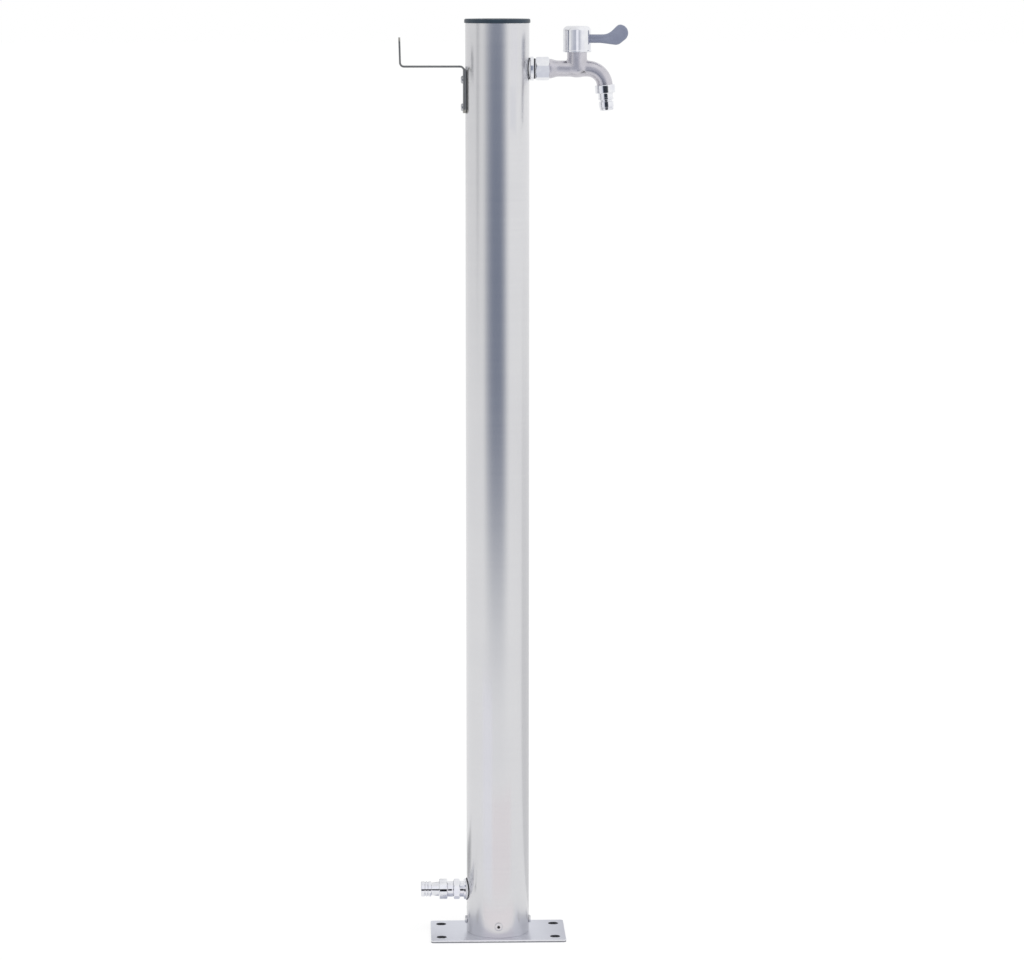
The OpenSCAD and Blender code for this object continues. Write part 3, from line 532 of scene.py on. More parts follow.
@dataclass(frozen=True)
class ZincPlate(Finish):
    """Dull grey zinc plate, as on fasteners that are pressed into sheet."""

    slot: Slot = Slot.BRASS
    colour: str = "#a9abb1"
    roughness: float = 0.26
    tone_mm: float = 3.0

    def patterns(self) -> Patterns:
        """The plating's uneven tone."""
        return ((Spots((self.tone_mm,) * 3), Effect(("#9fa1a8", "#b2b4b9"))),)


@dataclass(frozen=True)
class ShadedPlateEdge(Finish):
    """Outer edge of a sheared sheet: a bright burnished band over a dark band of painted shade.

    The blade polishes the upper part of the edge; the lower band's dark colour is painted shade
    where the edge meets the floor.
    """

    slot: Slot = Slot.PLATE_STEEL
    colour: str = "#c9cbd0"
    roughness: float = 0.4
    # The height above the floor up to which the painted shade reaches
    shade_top_mm: float = 1.5
    soft_mm: float = 0.6
    rag_mm: float = 1.4

    def dress(
        self, tree: bpy.types.NodeTree, shader: bpy.types.Node, place: bpy.types.NodeSocket
    ) -> None:
        """Adds the bright band and the band of painted shade, with a ragged line between them.

        Args:
            tree: The material's tree.
            shader: Its principled shader.
            place: The object coordinates.
        """
        ragged = Spots((self.rag_mm,) * 3).value(tree, place)
        height = add_node(tree, "SeparateXYZ", {"Vector": place}).outputs["Z"]
        soft = self.soft_mm * MM
        shake = add_node(tree, "Math", {0: ragged, 1: soft}, operation="MULTIPLY").outputs[0]
        level = add_node(tree, "Math", {0: height, 1: shake}, operation="ADD").outputs[0]
        band = add_node(
            tree, "MapRange",
            {"Value": level, "From Min": self.shade_top_mm * MM, "From Max": self.shade_top_mm * MM + soft},
            interpolation_type="SMOOTHSTEP",
        ).outputs["Result"]
        # The dark low tint is painted shade along the foot of the edge
        Effect(tints=("#85868c", "#e4e5ea")).apply(tree, shader, band)
        Effect(depth_mm=0.03).apply(tree, shader, ragged)


@dataclass(frozen=True)
class WireBraid(Finish):
    """Braid of stainless wire round a hose, woven under and over.

    Two sets of strands cross at an angle; each crossing's crown has a painted highlight, with
    painted shade between the strands.
    """

    slot: Slot = Slot.BRAID
    colour: str = "#a9adb2"
    roughness: float = 0.3
    strands: float = 24.0
    pitch_mm: float = 3.0

    def dress(
        self, tree: bpy.types.NodeTree, shader: bpy.types.Node, place: bpy.types.NodeSocket
    ) -> None:
        """Adds the strands as two sets of bands that wind opposite ways.

        Args:
            tree: The material's tree.
            shader: Its principled shader.
            place: The object coordinates.
        """
        parts = add_node(tree, "SeparateXYZ", {"Vector": place}).outputs
        angle = add_node(
            tree, "Math", {0: parts["Y"], 1: parts["X"]}, operation="ARCTAN2"
        ).outputs[0]
        turns = add_node(
            tree, "Math", {0: angle, 1: self.strands / 2}, operation="MULTIPLY"
        ).outputs[0]
        climb = add_node(
            tree, "Math", {0: parts["Z"], 1: FULL_TURN / (self.pitch_mm * MM)}, operation="MULTIPLY"
        ).outputs[0]
        waves = []
        for way in ("ADD", "SUBTRACT"):
            phase = add_node(tree, "Math", {0: climb, 1: turns}, operation=way).outputs[0]
            waves.append(add_node(tree, "Math", {0: phase}, operation="SINE").outputs[0])
        weave = add_node(tree, "Math", {0: waves[0], 1: waves[1]}, operation="MULTIPLY").outputs[0]
        shade = add_node(
            tree, "MapRange", {"Value": weave, "From Min": -1.0, "From Max": 1.0}
        ).outputs["Result"]
        # The dark tint is painted shade between the strands, and the pale one a painted highlight
        # on each crown
        Effect(tints=("#85898e", "#c3c7cb"), depth_mm=0.12).apply(tree, shader, shade)


@dataclass(frozen=True)
class PolishedCeramic(Finish):
    """Alumina, sintered and lapped.

    It is a hard white with a polish like wet stone.
    """

    slot: Slot = Slot.CERAMIC
    colour: str = "#ece9e2"
    roughness: float = 0.15
    metallic: float = 0.0
    mottle_mm: float = 1.2

    def patterns(self) -> Patterns:
        """The sinter's faint mottling."""
        return ((Spots((self.mottle_mm,) * 3), Effect(("#e6e3db", "#f1efe9"))),)


TUBE = BrushedTube()
SHEET = BrushedSheet()
STRIP = BrushedSheet(
    slot=Slot.HOOK_STEEL, colour="#c6c7ca", roughness=0.36, tints=("#c0c1c5", "#ccced0"),
    streak_mm=(30.0, 0.6, 30.0),
)
STRIP_EDGE = StripEdge()
SCREW = BrightScrew()
# The hook's screws are left as headed, duller than the tumbled ones
DULL_SCREW = BrightScrew(colour="#bcbdc0", tints=("#b4b5b9", "#c4c5c8"))
CHROME = ChromePlate()
CASTING = SatinCasting()
CAP = MouldedPlastic(slot=Slot.CAP_PLASTIC, colour="#233442", roughness=0.42)
LEVER = MouldedPlastic(
    slot=Slot.LEVER_PLASTIC, colour="#7d8398", roughness=0.38, tints=("#787e94", "#82889c"),
)
# The pale ring behind a bonded washer's rubber
NYLON = MouldedPlastic(
    slot=Slot.RUBBER, colour="#d9dadf", roughness=0.5, tints=("#d5d6db", "#dddee3"),
)
RUBBER = MouldedRubber()
# Painted shade on the walls of the plate's holes
HOLE_WALL_SHADE = ShadedHoleWall()
# The plate's outer edge, with painted shade along its foot
PLATE_EDGE_SHADE = ShadedPlateEdge()
ZINC = ZincPlate()
# Painted shade inside the screws' sockets
SOCKET_SHADE = SocketShade()
BRASS = TurnedBrass()
BRAID = WireBraid()
CERAMIC = PolishedCeramic()


def arc(centre: Point, radius: float, start: float, end: float, steps: int) -> list[Point]:
    """Gives points along an arc.

    Args:
        centre: The arc's centre.
        radius: Its radius.
        start: The angle in degrees where it starts.
        end: The angle in degrees where it ends.
        steps: How many chords it has.

    Returns:
        The points, both ends among them.
    """
    points = []
    for i in range(steps + 1):
        angle = math.radians(start + (end - start) * i / steps)
        points.append((centre[0] + radius * math.cos(angle), centre[1] + radius * math.sin(angle)))
    return points


def rounded(points: Sequence[Point], radius: float, steps: int = 3) -> list[Point]:
    """Rounds the inner corners of an open outline.

    Args:
        points: The outline's corners. Its first and last points stay.
        radius: The corner radius, cut down where a side is short.
        steps: How many chords each corner has.

    Returns:
        The outline with an arc in place of each inner corner.
    """
    out = [points[0]]
    for before, corner, after in zip(points, points[1:], points[2:]):
        here = Vector(corner)
        back = Vector(before) - here
        ahead = Vector(after) - here
        if back.length < 1e-9 or ahead.length < 1e-9:
            continue
        turn = math.pi - back.angle(ahead)
        if turn < SLIGHT_TURN:
            out.append(corner)
            continue
        reach = min(radius * math.tan(turn / 2), 0.45 * back.length, 0.45 * ahead.length)
        first = here + back.normalized() * reach
        last = here + ahead.normalized() * reach
        for i in range(steps + 1):
            t = i / steps
            # A quadratic curve between the two tangent points
            spot = first * (1 - t) ** 2 + here * (2 * t * (1 - t)) + last * t**2
            out.append((spot.x, spot.y))
    out.append(points[-1])
    return out


def placed_object(bm: bmesh.types.BMesh, name: str) -> bpy.types.Object:
    """Turns a mesh into an object of the scene.

    Args:
        bm: The mesh. It is freed.
        name: The name of the object and of its mesh.

    Returns:
        The object, linked to the scene.
    """
    mesh = bpy.data.meshes.new(name)
    bm.to_mesh(mesh)
    bm.free()
    obj = bpy.data.objects.new(name, mesh)
    bpy.context.scene.collection.objects.link(obj)
    return obj


@dataclass
class Piece:
    """A finished piece of the scene, from its mesh to its place on a body."""

    name: str
    body: Body
    finish: Finish
    nodes: tuple[str, ...] = ()
    # The finishes of the faces that carry material index one and up
    more: tuple[Finish, ...] = ()

    def make(
        self, bm: bmesh.types.BMesh, weighted: bool = True, crisp: float = CRISP_ANGLE
    ) -> bpy.types.Object:
        """Turns a bmesh into the piece's object, dresses it and joins it to the frame.

        Args:
            bm: The mesh in metres in the shared frame. It is freed.
            weighted: Whether large faces lead the shading.
            crisp: Edges of a larger angle than this stay crisp.

        Returns:
            The finished object.
        """
        bmesh.ops.remove_doubles(bm, verts=bm.verts, dist=0.002 * MM)
        bmesh.ops.recalc_face_normals(bm, faces=bm.faces)
        for face in bm.faces:
            face.smooth = True
        for edge in bm.edges:
            edge.smooth = not (edge.is_manifold and edge.calc_face_angle(0.0) > crisp)
        obj = placed_object(bm, self.name)
        for finish in (self.finish, *self.more):
            obj.data.materials.append(finish.material())
        if weighted:
            modifier = obj.modifiers.new("shading", "WEIGHTED_NORMAL")
            modifier.keep_sharp = True
        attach(obj, self.body.value)
        if self.nodes:
            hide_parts(*self.nodes)
        LOG.info("%s: %d faces", self.name, len(obj.data.polygons))
        return obj


def turned(points: Iterable[Point], steps: int = 96) -> bmesh.types.BMesh:
    """Spins an outline about +Z.

    Args:
        points: The outline's radii and heights in millimetres.
        steps: How many faces there are round it.

    Returns:
        The mesh in metres, about the origin.
    """
    bm = bmesh.new()
    ring = [bm.verts.new((r * MM, 0.0, z * MM)) for r, z in points]
    edges = [bm.edges.new(pair) for pair in zip(ring, ring[1:])]
    bmesh.ops.spin(
        bm, geom=ring + edges, cent=(0, 0, 0), axis=(0, 0, 1), dvec=(0, 0, 0), angle=FULL_TURN,
        steps=steps, use_merge=True, use_duplicate=False,
    )
    bmesh.ops.remove_doubles(bm, verts=bm.verts, dist=0.001 * MM)
    bmesh.ops.dissolve_degenerate(bm, dist=0.0005 * MM, edges=bm.edges)
    return bm


def hexagon_radius(angle: float, across: float, corner_angle: float) -> float:
    """Gives a hexagon's radius in one direction.

    Args:
        angle: The direction in radians.
        across: The distance across its flats.
        corner_angle: The direction of a corner in radians.

    Returns:
        The distance from its centre to its side.
    """
    sixth = math.pi / 3
    off_flat = (angle - corner_angle) % sixth - sixth / 2
    return across / 2 / math.cos(off_flat)


@dataclass(frozen=True)
class Hexagon:
    """A hexagon on a turned piece, with its corners turned off at both ends."""

    low: float
    high: float
    across: float
    corner_angle: float = 0.0
    # The turned circle on its end faces, as a share of the distance across the flats
    face_share: float = 0.955
    slope: float = math.tan(math.radians(30))
    lands: int = 7

    @property
    def face_r(self) -> float:
        """The radius of the turned circle on its ends."""
        return self.across * self.face_share / 2

    @property
    def corner_r(self) -> float:
        """The radius to its corners."""
        return self.across / 2 / math.cos(math.pi / 6)

    def outline(self) -> list[Point]:
        """Gives the outline to spin, before it is pressed to the hexagon.

        Returns:
            Radii and heights in millimetres, from the low end face to the high one.
        """
        inset = (self.corner_r - self.face_r) * self.slope
        first, last = self.low + inset, self.high - inset
        step = (last - first) / self.lands
        middle = [(self.corner_r, first + step * i) for i in range(self.lands + 1)]
        return [(self.face_r, self.low), *middle, (self.face_r, self.high)]

    def press(self, bm: bmesh.types.BMesh) -> None:
        """Moves the spun corner rings onto the flats, and the turned edges onto the cone.

        Args:
            bm: The spun mesh in metres, about +Z.
        """
        inset = (self.corner_r - self.face_r) * self.slope
        first, last = self.low + inset, self.high - inset
        for vert in bm.verts:
            radius = math.hypot(vert.co.x, vert.co.y) / MM
            height = vert.co.z / MM
            if abs(radius - self.corner_r) > TOUCH or not first - TOUCH < height < last + TOUCH:
                continue
            way = math.atan2(vert.co.y, vert.co.x)
            flat_r = hexagon_radius(way, self.across, self.corner_angle)
            cut = (flat_r - self.face_r) * self.slope
            share = (height - first) / (last - first)
            low, high = self.low + cut, self.high - cut
            vert.co.x *= flat_r / radius
            vert.co.y *= flat_r / radius
            vert.co.z = (low + share * (high - low)) * MM


def carried(bm: bmesh.types.BMesh, place: Matrix) -> bmesh.types.BMesh:
    """Moves a whole mesh by a matrix and returns it."""
    bmesh.ops.transform(bm, matrix=place, verts=bm.verts)
    return bm


def joined(meshes: Iterable[bmesh.types.BMesh]) -> bmesh.types.BMesh:
    """Puts several meshes into one.

    Args:
        meshes: The meshes. They are freed.

    Returns:
        One mesh that holds them all.
    """
    whole = bmesh.new()
    for bm in meshes:
        part = bpy.data.meshes.new("part")
        bm.to_mesh(part)
        bm.free()
        whole.from_mesh(part)
        bpy.data.meshes.remove(part)
    return whole


def finished_mesh(bm: bmesh.types.BMesh, kind: str, **settings: object) -> bmesh.types.BMesh:
    """Runs one modifier on a mesh and gives the result as a mesh.

    Args:
        bm: The mesh. It is freed.
        kind: The modifier's type.
        **settings: The modifier's own properties.

    Returns:
        The changed mesh.
    """
    obj = placed_object(bm, "raw")
    mesh = obj.data
    modifier = obj.modifiers.new("step", kind)
    for name, value in settings.items():
        setattr(modifier, name, value)
    bpy.context.view_layer.update()
    done = obj.evaluated_get(bpy.context.evaluated_depsgraph_get()).to_mesh()
    out = bmesh.new()
    out.from_mesh(done)
    bpy.data.objects.remove(obj)
    bpy.data.meshes.remove(mesh)
    return out


def square_edges(bm: bmesh.types.BMesh) -> list[bmesh.types.BMEdge]:
    """Gives a mesh's edges that turn about a right angle."""
    return [e for e in bm.edges if e.is_manifold and e.calc_face_angle(0.0) > SQUARE_ANGLE]


def break_edges(
    bm: bmesh.types.BMesh,
    edges: Sequence[bmesh.types.BMEdge],
    width: float,
    segments: int = 3,
    clamped: bool = False,
) -> None:
    """Rounds edges of a mesh.

    Args:
        bm: The mesh.
        edges: Its edges to round.
        width: How far the rounding reaches from the edge, in the mesh's own units.
        segments: How many faces it has across.
        clamped: Whether it shrinks where two roundings would meet.
    """
    bmesh.ops.bevel(
        bm, geom=edges, offset=width, offset_type="OFFSET", affect="EDGES", segments=segments,
        profile=0.5, material=-1, clamp_overlap=clamped,
    )


def relax(bm: bmesh.types.BMesh, rounds: int) -> None:
    """Smooths a mesh, by drawing every point half way to its neighbours.

    Args:
        bm: The mesh.
        rounds: How many times it is done.
    """
    for _ in range(rounds):
        bmesh.ops.smooth_vert(
            bm, verts=bm.verts, factor=0.5, use_axis_x=True, use_axis_y=True, use_axis_z=True
        )


@dataclass
class PanScrew:
    """A pan head screw with a hexagon socket, along +Z with its head standing on zero."""

    head_d: float
    head_h: float
    shank_d: float
    length: float
    socket_across: float = 3.0
    socket_depth: float = 1.1
    # The chamfer at the shank's end and the depth of the drill's point below the socket
    point: float = 0.4
    # The broken edges under the head and at the socket's mouth
    broken: float = 0.1
    # Points of the socket's wall are this close to its radius
    wall_slack: float = 0.02
    steps: int = 48

    def mesh(self) -> bmesh.types.BMesh:
        """Builds one screw.

        Returns:
            The screw's mesh about the origin.
        """
        head_r = self.head_d / 2
        shank_r = self.shank_d / 2
        socket_r = self.socket_across / 2 / math.cos(math.pi / 6)
        floor = self.head_h - self.socket_depth
        # The head's edge is round over four fifths of its height
        dome_r = self.head_h * 0.8
        dome = arc((head_r - dome_r, self.head_h - dome_r), dome_r, 0, 78, 7)
        outline = [
            (0.0, -self.length), (shank_r - self.point, -self.length),
            (shank_r, -self.length + self.point), (shank_r, 0.0), (head_r - self.broken, 0.0),
            (head_r, self.broken), *dome, (socket_r + 0.35, self.head_h),
            (socket_r + 0.08, self.head_h - 0.02), (socket_r, self.head_h - self.broken),
            (socket_r, floor), (0.0, floor - self.point),
        ]
        bm = turned(outline, self.steps)
        for vert in bm.verts:
            radius = math.hypot(vert.co.x, vert.co.y) / MM
            if abs(radius - socket_r) < self.wall_slack and vert.co.z / MM > floor - self.broken:
                flat_r = hexagon_radius(math.atan2(vert.co.y, vert.co.x), self.socket_across, 0.0)
                vert.co.x *= flat_r / radius
                vert.co.y *= flat_r / radius
        # The socket's faces take the second slot, whose dark colour is painted shade in the recess
        for face in bm.faces:
            middle = face.calc_center_median()
            inside = math.hypot(middle.x, middle.y) / MM < socket_r + self.wall_slack
            if inside and floor - self.point < middle.z / MM < self.head_h - self.broken:
                face.material_index = 1
        return bm


@dataclass
class Foot:
    """The floor plate and the screws that hold the column on its socket ring."""

    plate_w: float = 140.0
    plate_depth: float = 80.0
    plate_t: float = 3.0
    corner_r: float = 3.0
    hole_x: float = 59.0
    hole_y: float = 26.0
    hole_d: float = 10.5
    edge_r: float = 0.35
    column_r: float = 32.5
    screw_z: float = 15.0
    screw: PanScrew = field(default_factory=lambda: PanScrew(8.4, 1.9, 5.0, 5.7))

    def drills(self) -> bmesh.types.BMesh:
        """Builds the four drills that cut the plate's holes.

        Returns:
            Their mesh, longer than the plate is thick.
        """
        drills = bmesh.new()
        for sx in (-1, 1):
            for sy in (-1, 1):
                spot = Matrix.Translation((sx * self.hole_x * MM, sy * self.hole_y * MM, 0))
                bmesh.ops.create_cone(
                    drills, cap_ends=True, segments=48, radius1=self.hole_d / 2 * MM,
                    radius2=self.hole_d / 2 * MM, depth=4 * self.plate_t * MM, matrix=spot,
                )
        return drills

    def plate(self) -> bmesh.types.BMesh:
        """Builds the plate: a sheet cut to shape, with its holes drilled and its edges broken.

        Returns:
            The mesh, with the holes' walls in the second slot and the outer edge in the third.
        """
        bm = bmesh.new()
        thickness = self.plate_t * MM
        size = Matrix.Diagonal((self.plate_w * MM, self.plate_depth * MM, thickness, 1.0))
        place = Matrix.Translation((0, 0, thickness / 2)) @ size
        bmesh.ops.create_cube(bm, size=1.0, matrix=place)
        upright = [
            e for e in bm.edges if abs(e.verts[0].co.z - e.verts[1].co.z) > thickness / 2
        ]
        break_edges(bm, upright, self.corner_r * MM, segments=8)
        drill = placed_object(self.drills(), "drills")
        drill_mesh = drill.data
        bm = finished_mesh(bm, "BOOLEAN", operation="DIFFERENCE", solver="EXACT", object=drill)
        bpy.data.objects.remove(drill)
        bpy.data.meshes.remove(drill_mesh)
        bmesh.ops.remove_doubles(bm, verts=bm.verts, dist=0.001 * MM)
        break_edges(bm, square_edges(bm), self.edge_r * MM)
        # The holes' walls take the second slot, whose dark colour is painted shade
        for face in bm.faces:
            middle = face.calc_center_median() / MM
            off = math.hypot(abs(middle.x) - self.hole_x, abs(middle.y) - self.hole_y)
            if off < self.hole_d / 2 + self.edge_r / 2 and abs(face.normal.z) < 0.6:
                face.material_index = 1
            # The outer edge takes the third slot, with painted shade along its foot
            elif abs(face.normal.z) < 0.3:
                face.material_index = 2
        return bm

    def build(self) -> None:
        """Builds the plate and its four foot screws."""
        plate = Piece("floor_plate", Body.COLUMN, SHEET, ("base_plate",), (HOLE_WALL_SHADE, PLATE_EDGE_SHADE))
        plate.make(self.plate(), crisp=BROKEN_EDGE_ANGLE)
        screws = []
        for axis in (Axis.TAP, Axis.INLET, Axis.FRONT, Axis.BACK):
            seat = Vector(axis.value) * self.column_r
            place = axis.placed((seat.x, seat.y, self.screw_z))
            screws.append(carried(self.screw.mesh(), place))
        screw_set = Piece("foot_screw_set", Body.COLUMN, SCREW, ("foot_screws",), (SOCKET_SHADE,))
        screw_set.make(joined(screws))


@dataclass
class Column:
    """The tube and the plug in its top."""

    radius: float = 32.5
    wall: float = 1.5
    low: float = 3.0
    top: float = 945.5
    edge_r: float = 0.3
    cap_t: float = 4.5
    cap_out: float = 1.0
    cap_edge_r: float = 1.5
    cap_crown: float = 0.35
    skirt_h: float = 20.0
    skirt_t: float = 2.0
    slip: float = 0.2
    rib_count: int = 8
    rib_w: float = 2.0
    rib_t: float = 1.0
    # How far the middle of a rib lies inside the skirt's outer wall
    rib_sink: float = 0.35
    # The flange's lower edge
    seat_edge: float = 0.25
    # The skirt's taper that guides it into the tube: how far in and how high
    lead_in: Point = (0.5, 1.0)
    crown_steps: int = 8
    steps: int = 192

    def tube(self) -> bmesh.types.BMesh:
        """Builds the tube with both walls and its cut ends.

        Returns:
            The mesh in place.
        """
        inner = self.radius - self.wall
        half_way = (self.low + self.top) / 2
        corners = [
            (inner, half_way), (inner, self.low), (self.radius, self.low),
            (self.radius, self.top), (inner, self.top), (inner, half_way),
        ]
        return turned(rounded(corners, self.edge_r, 2), self.steps)

    def cap(self) -> bmesh.types.BMesh:
        """Builds the plug: a crowned flange, its skirt and the ribs that grip the tube.

        Returns:
            The mesh in place.
        """
        flange_r = self.radius + self.cap_out
        top = self.top + self.cap_t
        skirt_r = self.radius - self.wall - self.slip
        skirt_low = self.top - self.skirt_h
        edge_top = top - self.cap_crown
        dish = flange_r - self.cap_edge_r
        outward = [1 - i / self.crown_steps for i in range(1, self.crown_steps + 1)]
        crown = [(dish * share, top - self.cap_crown * share**2) for share in outward]
        lead, lead_h = self.lead_in
        outline = [
            (0.0, self.top - self.skirt_t), (skirt_r - self.skirt_t, self.top - self.skirt_t),
            (skirt_r - self.skirt_t, skirt_low), (skirt_r - lead, skirt_low),
            (skirt_r, skirt_low + lead_h), (skirt_r, self.top),
            (flange_r - self.seat_edge, self.top), (flange_r, self.top + self.seat_edge),
            *arc((dish, edge_top - self.cap_edge_r), self.cap_edge_r, 0, 90, 7), *crown,
        ]
        plug = turned(outline, self.steps)
        ribs = bmesh.new()
        rib = Vector((self.rib_t, self.rib_w, self.skirt_h - lead_h)) * MM
        # The ribs end just under the flange
        rib_z = self.top - self.skirt_h / 2 + 0.4
        spot = Matrix.Translation(Vector((skirt_r - self.rib_sink, 0, rib_z)) * MM)
        for i in range(self.rib_count):
            turn = Matrix.Rotation((i + 0.5) * FULL_TURN / self.rib_count, 4, "Z")
            bmesh.ops.create_cube(ribs, size=1.0, matrix=turn @ spot @ Matrix.Diagonal((*rib, 1.0)))
        return joined([plug, ribs])

    def build(self) -> None:
        """Builds the tube and the plug."""
        Piece("column_shell", Body.COLUMN, TUBE, ("column_tube",)).make(self.tube(), weighted=False)
        Piece("column_cap", Body.COLUMN, CAP, ("top_cap",)).make(self.cap(), weighted=False)


@dataclass
class Hook:
    """The hose hook: a bent strip with round ends, and the two screws that hold it."""

    plate_x: float = -33.9
    arm_z: float = 901.7
    up_x: float = -98.5
    width: float = 20.0
    thickness: float = 2.0
    bend_r: float = 3.0
    plate_l: float = 47.0
    up_h: float = 29.5
    lean: float = 1.5
    corner_r: float = 5.0
    edge_r: float = 0.35
    screw_zs: tuple[float, float] = (888.4, 860.6)
    screw_x: float = -34.9
    screw: PanScrew = field(default_factory=lambda: PanScrew(8.0, 2.1, 5.0, 10.0, socket_depth=1.2))
    # The tube's radius, with the play between it and the plate's pressed back
    tube_r: float = 32.6
    # How many rows of points there are along a round end, a bend and a straight run
    end_steps: int = 6
    bend_steps: int = 10
    flat_steps: int = 4

    @property
    def mid_r(self) -> float:
        """The radius of a bend's middle."""
        return self.bend_r + self.thickness / 2

    def runs(self) -> list[tuple[float, float]]:
        """Lists the strip's straight runs and bends, from the plate's lower end.

        Returns:
            The length of each along the strip's middle, and the angle that it turns by.
        """
        quarter = math.pi / 2
        rise_turn = quarter - math.radians(self.lean)
        arm_l = self.plate_x - self.up_x - 2 * self.mid_r
        return [
            (self.plate_l - self.mid_r, 0.0), (self.mid_r * quarter, quarter), (arm_l, 0.0),
            (self.mid_r * rise_turn, -rise_turn), (self.up_h - self.mid_r, 0.0),
        ]

    def centre_line(self, along: float) -> tuple[Vector, Vector]:
        """Follows the strip's middle from the plate's lower end to the upright's top.

        Args:
            along: The distance from the plate's lower end in millimetres.

        Returns:
            The point and the unit direction there, in X and Z.
        """
        heading = math.pi / 2
        spot = Vector((self.plate_x, self.arm_z - self.plate_l))
        for length, turn in self.runs():
            part = min(max(along, 0.0), length)
            ahead = Vector((math.cos(heading), math.sin(heading)))
            if turn:
                angle = turn * part / length
                inward = Vector((-ahead.y, ahead.x)) * math.copysign(self.mid_r, turn)
                centre = spot + inward
                spot = centre - Matrix.Rotation(angle, 2) @ inward
                heading += angle
            else:
                spot = spot + ahead * part
            along -= length
            if along <= 0:
                break
        return spot, Vector((math.cos(heading), math.sin(heading)))

    @property
    def length(self) -> float:
        """The strip's unrolled length."""
        return sum(length for length, _ in self.runs())

    def stations(self) -> list[float]:
        """Gives the places along the strip where it has a row of points.

        Returns:
            Distances from the plate's lower end in millimetres, in order.
        """
        quarter = math.pi / 2
        angles = [quarter * i / self.end_steps for i in range(self.end_steps + 1)]
        corner = [self.corner_r * (1 - math.cos(angle)) for angle in angles]
        spots = corner + [self.length - c for c in reversed(corner)]
        first, second, third, fourth, whole = accumulate(length for length, _ in self.runs())
        for start, end in ((first, second), (third, fourth)):
            step = (end - start) / self.bend_steps
            spots += [start + step * i for i in range(self.bend_steps + 1)]
        flats = ((self.corner_r, first), (second, third), (fourth, whole - self.corner_r))
        for start, end in flats:
            step = (end - start) / self.flat_steps
            spots += [start + step * i for i in range(1, self.flat_steps)]
        return sorted(spots)

    def strip(self) -> bmesh.types.BMesh:
        """Builds the strip flat, rounds its ends and bends it.

        Returns:
            The mesh in place, with the strip's edges in the second slot.
        """
        spots = self.stations()
        bm = bmesh.new()
        bmesh.ops.create_grid(bm, x_segments=len(spots) - 1, y_segments=8, size=0.5)
        for vert in bm.verts:
            row = round((vert.co.x + 0.5) * (len(spots) - 1))
            along = spots[row]
            to_end = min(along, self.length - along, self.corner_r)
            reach = max(self.corner_r**2 - (self.corner_r - to_end) ** 2, 0.0)
            cut = self.corner_r - math.sqrt(reach)
            vert.co = (along, vert.co.y * (self.width - 2 * cut), -self.thickness / 2)
        grown = bmesh.ops.extrude_face_region(bm, geom=bm.faces[:])
        for item in grown["geom"]:
            if isinstance(item, bmesh.types.BMVert):
                item.co.z = self.thickness / 2
        bmesh.ops.recalc_face_normals(bm, faces=bm.faces)
        break_edges(bm, square_edges(bm), self.edge_r)
        for vert in bm.verts:
            spot, ahead = self.centre_line(vert.co.x)
            off = Vector((-ahead.y, ahead.x)) * vert.co.z
            # The plate's back is pressed out at its edges until it meets the tube, and less where
            # the strip bends away
            near = off.x > 0 and spot.x > self.plate_x - self.bend_r
            press = max(0.0, 1 - abs(ahead.x) / 0.6) if near else 0.0
            sag = self.tube_r - math.sqrt(self.tube_r**2 - vert.co.y**2)
            x = spot.x + off.x + press * sag
            vert.co = Vector((x, vert.co.y, spot.y + off.y)) * MM
        bm.normal_update()
        for face in bm.faces:
            if abs(face.normal.y) > 0.2:
                face.material_index = 1
        return bm

    def build(self) -> None:
        """Builds the strip and its screws."""
        strip = Piece("hook_strip", Body.COLUMN, STRIP, ("hose_hook",), (STRIP_EDGE,))
        strip.make(self.strip(), crisp=BROKEN_EDGE_ANGLE)
        seats = [Axis.INLET.placed((self.screw_x, 0, z)) for z in self.screw_zs]
        screws = joined([carried(self.screw.mesh(), seat) for seat in seats])
        Piece("hook_screw_pair", Body.COLUMN, DULL_SCREW, ("hook_screws",), (SOCKET_SHADE,)).make(screws)


